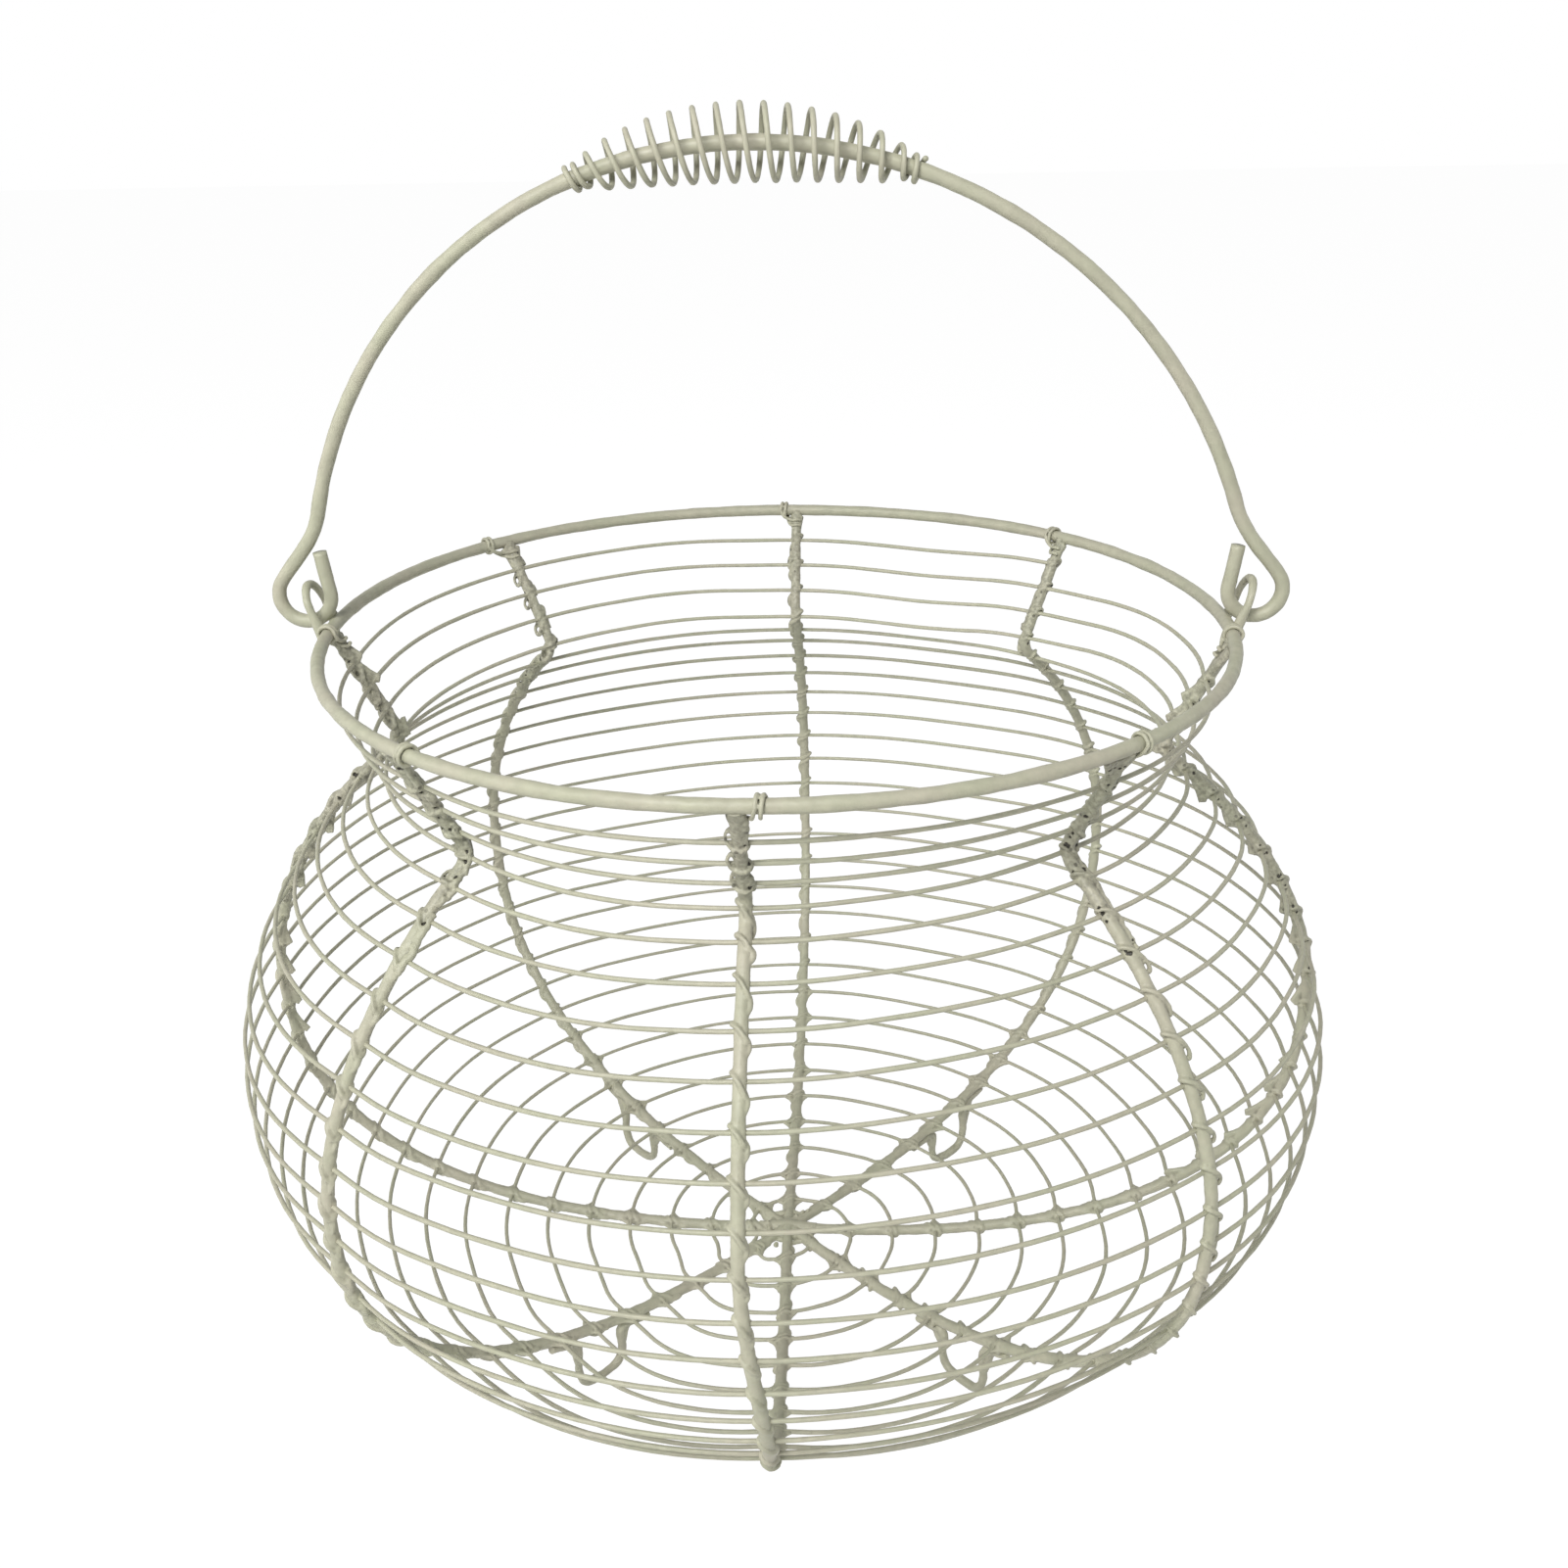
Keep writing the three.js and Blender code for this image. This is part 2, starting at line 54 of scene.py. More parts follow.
# %% [markdown]
# ## The camera
#
# The photograph looks down into the basket from close by, so its perspective is strong:
# the front of the rim is drawn almost twice as thick as the back. A camera far away with
# a long lens could match the outline but never that. The place and the three angles
# below were worked out from the rim, the ribs and the handle together.

# %% A helper for new objects
def new_object(name, data):
    """A new object in the scene that shows the given data."""
    item = bpy.data.objects.new(name, data)
    bpy.context.collection.objects.link(item)
    return item


# %% Camera
camera_place = Vector((21.85, -416.92, 342.0)) * MM
camera_heading = math.radians(2.783)
camera_pitch = math.radians(23.312)
camera_roll = math.radians(-1.159)

camera_data = bpy.data.cameras.new("camera")
camera_data.lens = 37.736
camera_data.sensor_width = 36.0
camera_data.clip_start = 0.01
camera = new_object("camera", camera_data)
turn = Matrix.Rotation(camera_heading, 4, "Z")
turn = turn @ Matrix.Rotation(math.pi / 2 - camera_pitch, 4, "X")
turn = turn @ Matrix.Rotation(camera_roll, 4, "Z")
camera.matrix_world = Matrix.Translation(camera_place) @ turn
bpy.context.scene.camera = camera
print("camera stands", round(camera_place.length / MM), "mm from the foot of the basket")

# %% [markdown]
# ## Light and background
#
# The photograph is a product picture on plain white. The background is white because the
# world and the floor tell the camera so, and not because more light falls on them: a
# Light Path node shows white to the camera and to reflections, while the object itself
# is lit by a softer world. The floor still takes a faint shadow.

# %% Helpers for nodes
def add_node(nodes, kind, **values):
    """A new shader node with some inputs set. A _ in an input's name stands for a space."""
    node = nodes.new("ShaderNode" + kind)
    for name, value in values.items():
        node.inputs[name.replace("_", " ")].default_value = value
    return node


def empty_tree(owner):
    """The nodes and the links of a world or a material, with nothing in them yet."""
    owner.use_nodes = True
    owner.node_tree.nodes.clear()
    return owner.node_tree.nodes, owner.node_tree.links


def light_path_mix(nodes, links, seen, lit):
    """A mix shader that shows `seen` to the camera and reflections, and `lit` to all else."""
    path = add_node(nodes, "LightPath")
    clear = path.outputs["Is Camera Ray"]
    for ray in ("Is Glossy Ray", "Is Transmission Ray"):
        either = add_node(nodes, "Math")
        either.operation = "MAXIMUM"
        links.new(clear, either.inputs[0])
        links.new(path.outputs[ray], either.inputs[1])
        clear = either.outputs[0]
    mix = add_node(nodes, "MixShader")
    links.new(clear, mix.inputs["Fac"])
    links.new(lit.outputs[0], mix.inputs[1])
    links.new(seen.outputs[0], mix.inputs[2])
    return mix


# %% World
room_light = 0.12

world = bpy.data.worlds.new("white room")
bpy.context.scene.world = world
nodes, links = empty_tree(world)
white = add_node(nodes, "Background", Color=(1.0, 1.0, 1.0, 1.0), Strength=1.0)
soft = add_node(nodes, "Background", Color=(1.0, 1.0, 1.0, 1.0), Strength=room_light)
world_out = add_node(nodes, "OutputWorld")
links.new(light_path_mix(nodes, links, white, soft).outputs[0], world_out.inputs["Surface"])
print("world:", len(nodes), "nodes")

# %% Lamps
def soft_lamp(name, place, aim, size, power):
    """A square soft box, its place and aim in metres."""
    lamp = bpy.data.lights.new(name, "AREA")
    lamp.shape = "SQUARE"
    lamp.size = size
    lamp.energy = power
    holder = new_object(name, lamp)
    holder.location = place
    holder.rotation_mode = "QUATERNION"
    holder.rotation_quaternion = (Vector(aim) - Vector(place)).to_track_quat("-Z", "Y")


belly = Vector((0.0, 0.0, 0.12))
lamps = {
    "lamp_front": ((-0.35, -1.15, 1.25), 0.7, 27.0),
    "lamp_left": ((-1.3, -0.3, 0.7), 0.7, 5.0),
    "lamp_right": ((1.3, 0.2, 0.8), 0.9, 3.0),
}
for name, (place, size, power) in lamps.items():
    soft_lamp(name, place, belly, size, power)
print("lamps:", ", ".join(lamps))

# %% Floor
floor_half_width, shine_strength, shine_share = 6.0, 1.08, 0.90

floor_mesh = bpy.data.meshes.new("floor")
bm = bmesh.new()
bmesh.ops.create_grid(bm, x_segments=1, y_segments=1, size=floor_half_width)
bm.to_mesh(floor_mesh)
bm.free()
floor = new_object("floor", floor_mesh)

floor_paper = bpy.data.materials.new("white paper")
nodes, links = empty_tree(floor_paper)
paper = add_node(nodes, "BsdfDiffuse", Color=(0.9, 0.9, 0.9, 1.0))
shine = add_node(nodes, "Emission", Strength=shine_strength)
shadowed = add_node(nodes, "MixShader", Fac=shine_share)
links.new(paper.outputs[0], shadowed.inputs[1])
links.new(shine.outputs[0], shadowed.inputs[2])
floor_out = add_node(nodes, "OutputMaterial")
links.new(light_path_mix(nodes, links, shadowed, paper).outputs[0], floor_out.inputs["Surface"])
floor_mesh.materials.append(floor_paper)
print("floor:", 2 * floor_half_width, "m wide")

# %% [markdown]
# ## The paint
#
# One tin of paint covers the whole basket, so one node group does the work and each
# material sets it a little differently. Three things make it look brushed on by hand:
# the colour drifts slowly between a green grey and a warmer putty, the surface is lumpy
# because the coat is thick, and there are small pits where a bubble broke or where the
# brush never reached, painted near black: that darkness is painted shade in the pits.
# All of them are noises on Object coordinates, in metres, so they stay on the wire when
# it moves. Three marks that each mesh carries say where the paint is rough, where it has
# a crease and where it has a hole. The creases and the holes are darkened with painted
# shade.

# %% Paint node group
# How many waves or cells of each noise lie in a metre
drift_scale, mottle_scale, grain_scale, pit_scale = 55.0, 900.0, 1500.0, 420.0


def paint_group():
    """Thick hand-brushed paint: a colour, a roughness and a height that vary over the wire."""
    group = bpy.data.node_groups.new("brushed paint", "ShaderNodeTree")
    face = group.interface
    for name, kind, value in (
        ("Main Color", "Color", (0.43, 0.43, 0.315, 1.0)),
        ("Warm Color", "Color", (0.455, 0.435, 0.335, 1.0)),
        # The near-black colour of the painted shade in pits, holes and creases
        ("Painted Shade Color", "Color", (0.022, 0.019, 0.012, 1.0)),
        ("Lump Size", "Float", 0.003),
        ("Pits", "Float", 0.5),
        ("Crease Shade", "Float", 0.55),
    ):
        socket = face.new_socket(name, in_out="INPUT", socket_type="NodeSocket" + kind)
        socket.default_value = value
    for name, kind in (("Color", "Color"), ("Roughness", "Float"), ("Height", "Float")):
        face.new_socket(name, in_out="OUTPUT", socket_type="NodeSocket" + kind)
    nodes, links = group.nodes, group.links
    given, made = nodes.new("NodeGroupInput"), nodes.new("NodeGroupOutput")
    place = add_node(nodes, "TexCoord").outputs["Object"]

    def feed(socket, value):
        """Sets an input to a number, or links it to the output of another node."""
        if isinstance(value, (int, float)):
            socket.default_value = value
        else:
            links.new(value, socket)

    def stored(name):
        node = add_node(nodes, "Attribute")
        node.attribute_name = name
        return node.outputs["Fac"]

    def noise_at(scale, detail, roughness=0.55):
        node = add_node(nodes, "TexNoise", Detail=detail, Roughness=roughness)
        feed(node.inputs["Scale"], scale)
        feed(node.inputs["Vector"], place)
        return node.outputs["Fac"]

    def ramp(source, low, high):
        node = add_node(nodes, "MapRange", From_Min=low, From_Max=high)
        feed(node.inputs["Value"], source)
        return node.outputs["Result"]

    def mixed(mask, first, second):
        node = add_node(nodes, "Mix")
        node.data_type = "RGBA"
        for name, value in (("Factor", mask), ("A", first), ("B", second)):
            feed(node.inputs[name], value)
        return node.outputs["Result"]

    def darkened(colour, value):
        node = add_node(nodes, "HueSaturation", Value=value)
        feed(node.inputs["Color"], colour)
        return node.outputs["Color"]

    def maths(operation, first, second):
        node = add_node(nodes, "Math")
        node.operation = operation
        feed(node.inputs[0], first)
        feed(node.inputs[1], second)
        return node.outputs[0]

    crease, rough, hole = stored("crease"), stored("rough"), stored("hole")
    drift = ramp(noise_at(drift_scale, 3.0), 0.38, 0.66)
    lump = noise_at(maths("DIVIDE", 1.0, given.outputs["Lump Size"]), 3.0)
    shade = ramp(lump, 0.25, 0.75)
    grain = noise_at(grain_scale, 2.0)
    mottle = ramp(noise_at(mottle_scale, 2.0, 0.6), 0.35, 0.65)
    # The pits are small dents in the paint, and the holes pressed in by dent join them below; the
    # near-black colour mixed into them is painted shade.
    cells = add_node(nodes, "TexVoronoi", Scale=pit_scale)
    feed(cells.inputs["Vector"], place)
    dot = maths("SUBTRACT", 1.0, ramp(cells.outputs["Distance"], 0.14, 0.24))
    few = ramp(cells.outputs["Color"], 0.52, 0.56)
    pits = maths("MULTIPLY", maths("MULTIPLY", dot, few), given.outputs["Pits"])
    pits = maths("MULTIPLY", maths("MULTIPLY", pits, rough), 0.7)
    pits = maths("MAXIMUM", pits, ramp(hole, 0.1, 0.6))

    colour = mixed(drift, given.outputs["Main Color"], given.outputs["Warm Color"])
    colour = mixed(shade, darkened(colour, 0.84), colour)
    colour = mixed(maths("MULTIPLY", mottle, rough), colour, darkened(colour, 0.62))
    colour = mixed(pits, colour, given.outputs["Painted Shade Color"])
    # Painted shade in the creases: where the crease mark says the skin lies in a hollow, the
    # colour is darkened towards the near-black shade colour.
    hollow = maths("MULTIPLY", ramp(crease, 0.02, 0.14), given.outputs["Crease Shade"])
    feed(made.inputs["Color"], mixed(hollow, colour, given.outputs["Painted Shade Color"]))

    feed(made.inputs["Roughness"], maths("ADD", maths("MULTIPLY", shade, -0.12), 0.56))
    coarse = maths("ADD", maths("MULTIPLY", rough, 0.35), 0.10)
    height = maths("ADD", maths("MULTIPLY", lump, 0.9), maths("MULTIPLY", grain, coarse))
    feed(made.inputs["Height"], maths("SUBTRACT", height, maths("MULTIPLY", pits, 0.8)))
    return group


brushed_paint = paint_group()
print("paint group:", len(brushed_paint.nodes), "nodes")

# %% Paint materials
def paint_material(name, lump_size, pits, relief):
    """A material that sets the paint group for one kind of wire. relief is in metres."""
    material = bpy.data.materials.new(name)
    nodes, links = empty_tree(material)
    paint = nodes.new("ShaderNodeGroup")
    paint.node_tree = brushed_paint
    paint.inputs["Lump Size"].default_value = lump_size
    paint.inputs["Pits"].default_value = pits
    coat = add_node(nodes, "BsdfPrincipled", Specular_IOR_Level=0.45)
    bump = add_node(nodes, "Bump", Distance=relief, Strength=1.0)
    out = add_node(nodes, "OutputMaterial")
    links.new(paint.outputs["Color"], coat.inputs["Base Color"])
    links.new(paint.outputs["Roughness"], coat.inputs["Roughness"])
    links.new(paint.outputs["Height"], bump.inputs["Height"])
    links.new(bump.outputs["Normal"], coat.inputs["Normal"])
    links.new(coat.outputs[0], out.inputs["Surface"])
    print("material:", name)
    return material


frame_paint = paint_material("thick paint on stout wire", 3.0 * MM, 0.9, 0.30 * MM)
fine_paint = paint_material("paint on fine wire", 2.0 * MM, 0.4, 0.10 * MM)
handle_paint = paint_material("paint on the handle", 4.0 * MM, 0.25, 0.20 * MM)

# %% [markdown]
# ## Where the wall runs
#
# Every wire of the basket follows one outline: a straight flare from the rim to the neck,
# a small bend, and then a round belly that closes under the base. The belly is a
# superellipse, which is an ellipse whose corners are a little squarer or softer; one
# exponent above the widest point and another below it draw the whole pot. The working
# model uses the same outline, so what we make lies exactly where its wires are.

# %% Sizes of the wires and the wall
rim_wire, rib_wire, weft_wire, lashing_wire = 3.4 * MM, 2.9 * MM, 1.25 * MM, 1.2 * MM
foot_wire, ear_wire, bail_wire, spring_wire = 2.4 * MM, 1.8 * MM, 3.7 * MM, 1.4 * MM

rim_radius, rim_height = 120 * MM, 209.1 * MM
neck_radius, neck_height, neck_bend = 102 * MM, 177.7 * MM, 5 * MM
belly_radius, belly_height, base_height = 148.5 * MM, 99.8 * MM, 11.1 * MM
belly_upper_power, belly_lower_power = 1.87, 2.42
rim_pinch, rim_pinch_turn, rim_pinch_power = 2.4 * MM, math.radians(10), 6
rim_lobe, rim_lobe_turn, rim_lobe_power = 2.4 * MM, math.radians(207), 4

# The azimuth of each rib, in degrees: on the belly, and at the rim
ribs = {
    "front": (358.9, 358.8),
    "front_right": (43.7, 41.8),
    "right": (86.5, 81.7),
    "back_right": (135.1, 134.2),
    "back": (179.1, 179.2),
    "back_left": (225.4, 226.4),
    "left": (269.1, 272.6),
    "front_left": (316.9, 319.1),
}
rib_names = list(ribs)
# How far a few ribs turn besides, in degrees, under the base and close under the rim
foot_turns = {"front": 1.9, "front_left": -0.6}
rim_turns = {"front_left": -1.6}
foot_turn_from, foot_turn_to, rim_turn_depth = -20 * MM, 40 * MM, 40 * MM
print("wires:", len(ribs), "ribs round a rim", round(2 * rim_radius / MM), "mm wide")


# %% Helpers for numbers and bends
def smoothstep(x, low, high):
    """0 below low, 1 above high, and a soft rise between them."""
    t = min(max((x - low) / (high - low), 0.0), 1.0)
    return t * t * (3 - 2 * t)


def blend(first, second, share):
    return first + (second - first) * share


def rounded(start, corner, end, count):
    """A smooth bend from start to end that leans towards the corner, in count lengths."""
    shares = [i / count for i in range(count + 1)]
    return [start.lerp(corner, t).lerp(corner.lerp(end, t), t) for t in shares]


# %% The outline
def belly_outline(samples=120):
    """Radius and height down the belly, from the neck to the middle of the base."""
    neck_share = (neck_radius / belly_radius) ** belly_upper_power
    rise = (neck_height - belly_height) / (1 - neck_share) ** (1 / belly_upper_power)
    neck_angle = math.acos(math.sqrt(neck_share))

    def belly_at(angle, power, height):
        r = belly_radius * math.cos(angle) ** (2 / power)
        return Vector((r, belly_height + height * math.sin(angle) ** (2 / power)))

    shares = [i / samples for i in range(samples)]
    upper = [belly_at(neck_angle * (1 - t), belly_upper_power, rise) for t in shares]
    drop = base_height - belly_height
    lower = [belly_at(t * math.pi / 2, belly_lower_power, drop) for t in shares]
    return [*upper, *lower, Vector((0.0, base_height))]


def wall_outline():
    """The whole outline, with its bend at the neck rounded."""
    rim, neck = Vector((rim_radius, rim_height)), Vector((neck_radius, neck_height))
    start = neck.lerp(rim, neck_bend / (rim - neck).length)
    below = [p for p in belly_outline() if (p - neck).length > neck_bend]
    return [rim, *rounded(start, neck, below[0], 8), *below[1:]]


outline = wall_outline()
reached = [0.0]
for here, there in zip(outline, outline[1:]):
    reached.append(reached[-1] + (there - here).length)
wall_length = reached[-1]
bend_length = reached[1]
belly_length = reached[next(i for i, p in enumerate(outline) if p.y <= belly_height)]
print("one rib is", round(wall_length / MM, 1), "mm long from rim to middle")


# %% Places on the wall
def outline_at(length):
    """Radius and height at a distance down the wall from the rim."""
    i = next((i for i in range(1, len(reached)) if reached[i] > length), len(reached) - 1)
    share = (length - reached[i - 1]) / (reached[i] - reached[i - 1])
    return outline[i - 1].lerp(outline[i], min(share, 1.0))


def pinch_at(azimuth):
    """How far the hand-bent rim is drawn in at an azimuth. It bulges at the back left."""
    lobe = max(math.cos(azimuth - rim_lobe_turn), 0.0) ** rim_lobe_power
    return rim_pinch * math.sin(azimuth - rim_pinch_turn) ** rim_pinch_power - rim_lobe * lobe


def outward_at(azimuth):
    return Vector((math.sin(azimuth), -math.cos(azimuth), 0.0))


def along_at(azimuth):
    return Vector((math.cos(azimuth), math.sin(azimuth), 0.0))


def wall_frame(length, azimuth):
    """A place on the wall with its three directions: along the row, up the rib, outward."""
    middle = outline_at(length)
    reach = rib_wire / 2
    down = outline_at(min(length + reach, wall_length)) - outline_at(max(length - reach, 0.0))
    down.normalize()
    pinched = pinch_at(azimuth) * max(1 - length / bend_length, 0.0)
    out = outward_at(azimuth)
    place = out * (middle.x - pinched) + Vector((0.0, 0.0, middle.y))
    upward = -(out * down.x + Vector((0.0, 0.0, down.y)))
    normal = out * -down.y + Vector((0.0, 0.0, down.x))
    return place, along_at(azimuth), upward, normal


def rib_azimuth(name, length):
    """A rib turns a little between the belly and the rim, as it was bent by hand."""
    low, high = ribs[name]
    share = max(1 - length / belly_length, 0.0)
    under = smoothstep(length, belly_length + foot_turn_from, belly_length + foot_turn_to)
    above = smoothstep(-length, -rim_turn_depth, 0.0)
    turned = low + (high - low) * share
    turned += under * foot_turns.get(name, 0.0) + above * rim_turns.get(name, 0.0)
    return math.radians(turned)


def rib_frame(name, length):
    """The place and the three directions of the wall in the middle of a rib."""
    return wall_frame(length, rib_azimuth(name, length))


# %% [markdown]
# ## Making wire
#
# A Blender curve with a round bevel is the natural way to draw wire: we say where it
# goes and how thick it is, and can change the thickness from point to point, which is
# what thick paint does. Several wires that touch are drawn as splines of one curve.
# Where paint has run between them we turn the curve into a mesh, and let a voxel remesh
# melt the separate tubes into one skin. A little smoothing then rounds every corner in
# the way that a heavy coat of paint does.
#
# The melted skin also tells us where its creases are. If smoothing would lift the skin at
# a point, that point lies in a hollow. We store that lift as an attribute, and the paint
# reads it to darken the creases: that darkening is painted shade, where light doesn't reach.

# %% Wire helpers
wander_length = 7 * MM
merge_distance, cut_rounding = 0.001 * MM, 0.25 * MM


def add_wire(curve, points, thickness, closed=False, swell=0.06, seed=0.0, ends=(1.0, 1.0)):
    """Adds one smooth wire. swell is how much its thickness wanders, ends how wide it starts."""
    spline = curve.splines.new("BEZIER")
    spline.bezier_points.add(len(points) - 1)
    spline.use_cyclic_u = closed
    for knot, point in zip(spline.bezier_points, points):
        knot.co = point
        knot.handle_left_type = knot.handle_right_type = "AUTO"
        wander = noise.noise(Vector(point) / wander_length + Vector((seed, 0, 0)))
        knot.radius = thickness / 2 * (1 + swell * wander)
    spline.bezier_points[0].radius *= ends[0]
    spline.bezier_points[-1].radius *= ends[1]
    return spline


def new_wires(name, steps, sides):
    """An empty curve for wires, with `steps` pieces between two points and `sides` sides."""
    curve = bpy.data.curves.new(name, "CURVE")
    curve.dimensions = "3D"
    curve.bevel_depth = 1.0
    curve.bevel_resolution = sides // 2 - 2
    curve.resolution_u = steps
    curve.use_fill_caps = True
    return curve


def shaped_mesh(item):
    """The mesh of an object, as its bevel or its modifiers shape it."""
    depsgraph = bpy.context.evaluated_depsgraph_get()
    return bpy.data.meshes.new_from_object(item.evaluated_get(depsgraph))


def to_mesh(curve):
    """The mesh of a finished curve, merged, with cut ends that are a little rounded."""
    holder = new_object(curve.name, curve)
    mesh = shaped_mesh(holder)
    bpy.data.objects.remove(holder)
    bm = bmesh.new()
    bm.from_mesh(mesh)
    bmesh.ops.remove_doubles(bm, verts=bm.verts, dist=merge_distance)
    bmesh.ops.recalc_face_normals(bm, faces=bm.faces)
    cut = {edge for face in bm.faces if len(face.verts) > 4 for edge in face.edges}
    bmesh.ops.bevel(bm, geom=list(cut), offset=cut_rounding, segments=2, profile=0.5,
                    affect="EDGES", material=-1)
    for face in bm.faces:
        face.smooth = True
    bm.to_mesh(mesh)
    bm.free()
    return new_object(curve.name, mesh)


# %% Paint helpers
hole_depth = 0.6
rough_fade = 12 * MM


def melt(piece, voxel, rounds):
    """Melts the piece's tubes into one skin and smooths it, like a heavy coat of paint."""
    remesh = piece.modifiers.new("melt", "REMESH")
    remesh.mode = "VOXEL"
    remesh.voxel_size = voxel
    smooth = piece.modifiers.new("round", "SMOOTH")
    smooth.factor = 0.5
    smooth.iterations = rounds
    mesh = shaped_mesh(piece)
    piece.modifiers.clear()
    old = piece.data
    piece.data = mesh
    bpy.data.meshes.remove(old)
    for face in mesh.polygons:
        face.use_smooth = True
    return piece


def lumps(piece, size, depth):
    """Pushes the skin in and out a little, over lumps of the given size."""
    mesh = piece.data
    for v, n in zip(mesh.vertices, [Vector(n.vector) for n in mesh.vertex_normals]):
        v.co = v.co + n * depth * noise.noise(v.co / size)
    mesh.update()
    return piece


# The hole mark makes the paint near black in each hole: painted shade in the hole.
def dent(piece, holes):
    """Presses small round holes into the skin, each a place and a radius, and marks them."""
    mesh = piece.data
    marks = mesh.attributes.new("hole", "FLOAT", "POINT")
    tree = kdtree.KDTree(len(mesh.vertices))
    for v in mesh.vertices:
        tree.insert(v.co, v.index)
    tree.balance()
    inward = [-Vector(n.vector) for n in mesh.vertex_normals]
    for place, radius in holes:
        nearest = tree.find(place)[0]
        for _, index, distance in tree.find_range(nearest, radius):
            depth = 1 - (distance / radius) ** 2
            marks.data[index].value = max(marks.data[index].value, depth)
            mesh.vertices[index].co += inward[index] * depth * radius * hole_depth
    mesh.update()
    return piece


def mark(piece, rough_from, rounds=8):
    """Stores two marks at each point of the skin. crease is how far smoothing would lift it,
    in mm, and rough is 1 where its height is past rough_from, where the paint is full of pits."""
    mesh = piece.data
    lifts = mesh.attributes.new("crease", "FLOAT", "POINT")
    roughs = mesh.attributes.new("rough", "FLOAT", "POINT")
    bm = bmesh.new()
    bm.from_mesh(mesh)
    for _ in range(rounds):
        bmesh.ops.smooth_vert(bm, verts=bm.verts, factor=0.5,
                              use_axis_x=True, use_axis_y=True, use_axis_z=True)
    for v, n, soft in zip(mesh.vertices, mesh.vertex_normals, bm.verts):
        lifts.data[v.index].value = (soft.co - v.co).dot(n.vector) / MM
        roughs.data[v.index].value = smoothstep(v.co.z, rough_from, rough_from + rough_fade)
    bm.free()
    return piece


def finish(piece, material, body, slot, *stands_for):
    """Paints a piece, lets it ride on its body, and hides the frame nodes that it stands for."""
    piece.data.materials.clear()
    piece.data.materials.append(material)
    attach(piece, body)
    if stands_for:
        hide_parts(*stands_for)
    triangles = sum(len(p.vertices) - 2 for p in piece.data.polygons)
    print(piece.name, "-", triangles, "triangles")
    return piece


# %% [markdown]
# ## Where the fine wire crosses the ribs
#
# One wire winds down the whole basket, so its rows are the turns of a spiral: it starts
# just under the rim at the back and sinks a little on its way round. The rows lie closer
# together at the rim than on the belly, and furthest apart under the base. We walk along
# the spiral in short steps and note each place where it meets a rib. Its first length, in
# one bay at the back, is missing from the working model, so we start a bay before it.

# %% Walk down the spiral
# Shares of the wall's length: where the winding starts, and how far it sinks in one turn
weft_start, weft_start_bay, steps_per_bay = 0.0278, 4, 3
drop_rim, drop_belly, drop_base = 0.0236, 0.0315, 0.0398
shoulder_shares, heel_shares = (0.13, 0.15), (0.51, 0.71)
bands = {"neck": 4, "shoulder": 4, "upper_belly": 4, "lower_belly": 4, "heel": 4,
         "base_outer": 4, "base_inner": 4.75}


def drop_at(share):
    """How far the wire sinks in one turn, at a share of the way down the wall."""
    above = blend(drop_rim, drop_belly, smoothstep(share, *shoulder_shares))
    return blend(above, drop_base, smoothstep(share, *heel_shares))


turn_steps = len(ribs) * steps_per_bay
frame_step = weft_start_bay * steps_per_bay
last_step = frame_step + int(sum(bands.values()) * turn_steps)
first_step = frame_step - steps_per_bay
walk = {}
share = weft_start - drop_rim * steps_per_bay / turn_steps
for step in range(first_step, last_step + 1):
    walk[step] = share * wall_length
    share += drop_at(share) / turn_steps
print("the walk has", len(walk), "steps")

# %% Shifts of the rows
# How far the rows lie below the even spiral in each bay, in mm, at these lengths in mm
shift_lengths = [10, 25, 40, 60, 80, 100, 130, 165, 200, 230, 260, 300]
row_shifts = {
    "front": [0.2, 0.1, -1.1, -2.0, -1.2, -0.4, 0.5, -0.4, -1.2, -1.7, -2.4, -2.3],
    "front_right": [-1.2, -1.9, -3.0, -3.3, -2.6, -1.4, 0.4, 0.7, 1.0, 0.8, 1.0, 1.7],
    "right": [-1.4, -1.3, -0.4, 2.0, 3.8, 5.2, 5.9, 6.8, 7.2, 5.2, 1.6, 3.6],
    "back_right": [2.8, 4.6, 6.2, 7.0, 8.6, 10.2, 10.4, 10.2, 9.8, 7.3, 5.3, 5.5],
    "back": [-0.3, 0.9, 2.9, 5.6, 7.8, 9.6, 10.0, 9.0, 8.0, 6.4, 4.8, 5.0],
    "back_left": [-0.8, 0.4, 2.3, 4.2, 4.8, 5.6, 6.0, 5.6, 5.2, 4.8, 4.6, 4.5],
    "left": [0.8, 1.0, 1.3, 1.7, 2.9, 5.0, 6.5, 6.8, 6.4, 6.0, 5.1, 4.3],
    "front_left": [0.6, 0.7, 0.7, 0.8, 1.0, 0.7, -0.2, -1.5, -2.0, -2.8, -3.8, -4.0],
}


def rib_at(bay):
    """The rib at which a bay starts. The bays are counted on from turn to turn."""
    return rib_names[bay % len(ribs)]


def shift_in(bay, length):
    """How far a row is shifted down the wall in the middle of a bay."""
    shifts, mm = row_shifts[rib_at(bay)], length / MM
    i = next((i for i in range(1, len(shifts) - 1) if shift_lengths[i] > mm), len(shifts) - 1)
    share = (mm - shift_lengths[i - 1]) / (shift_lengths[i] - shift_lengths[i - 1])
    return blend(shifts[i - 1], shifts[i], min(max(share, 0.0), 1.0)) * MM


def shift_at(bay, share, length):
    """The same anywhere in a bay: at a rib it is the mean of the bays on its two sides."""
    other = bay - 1 if share < 0.5 else bay + 1
    reach = 0.5 * smoothstep(abs(share - 0.5), 0.0, 0.5)
    return blend(shift_in(bay, length), shift_in(other, length), reach)


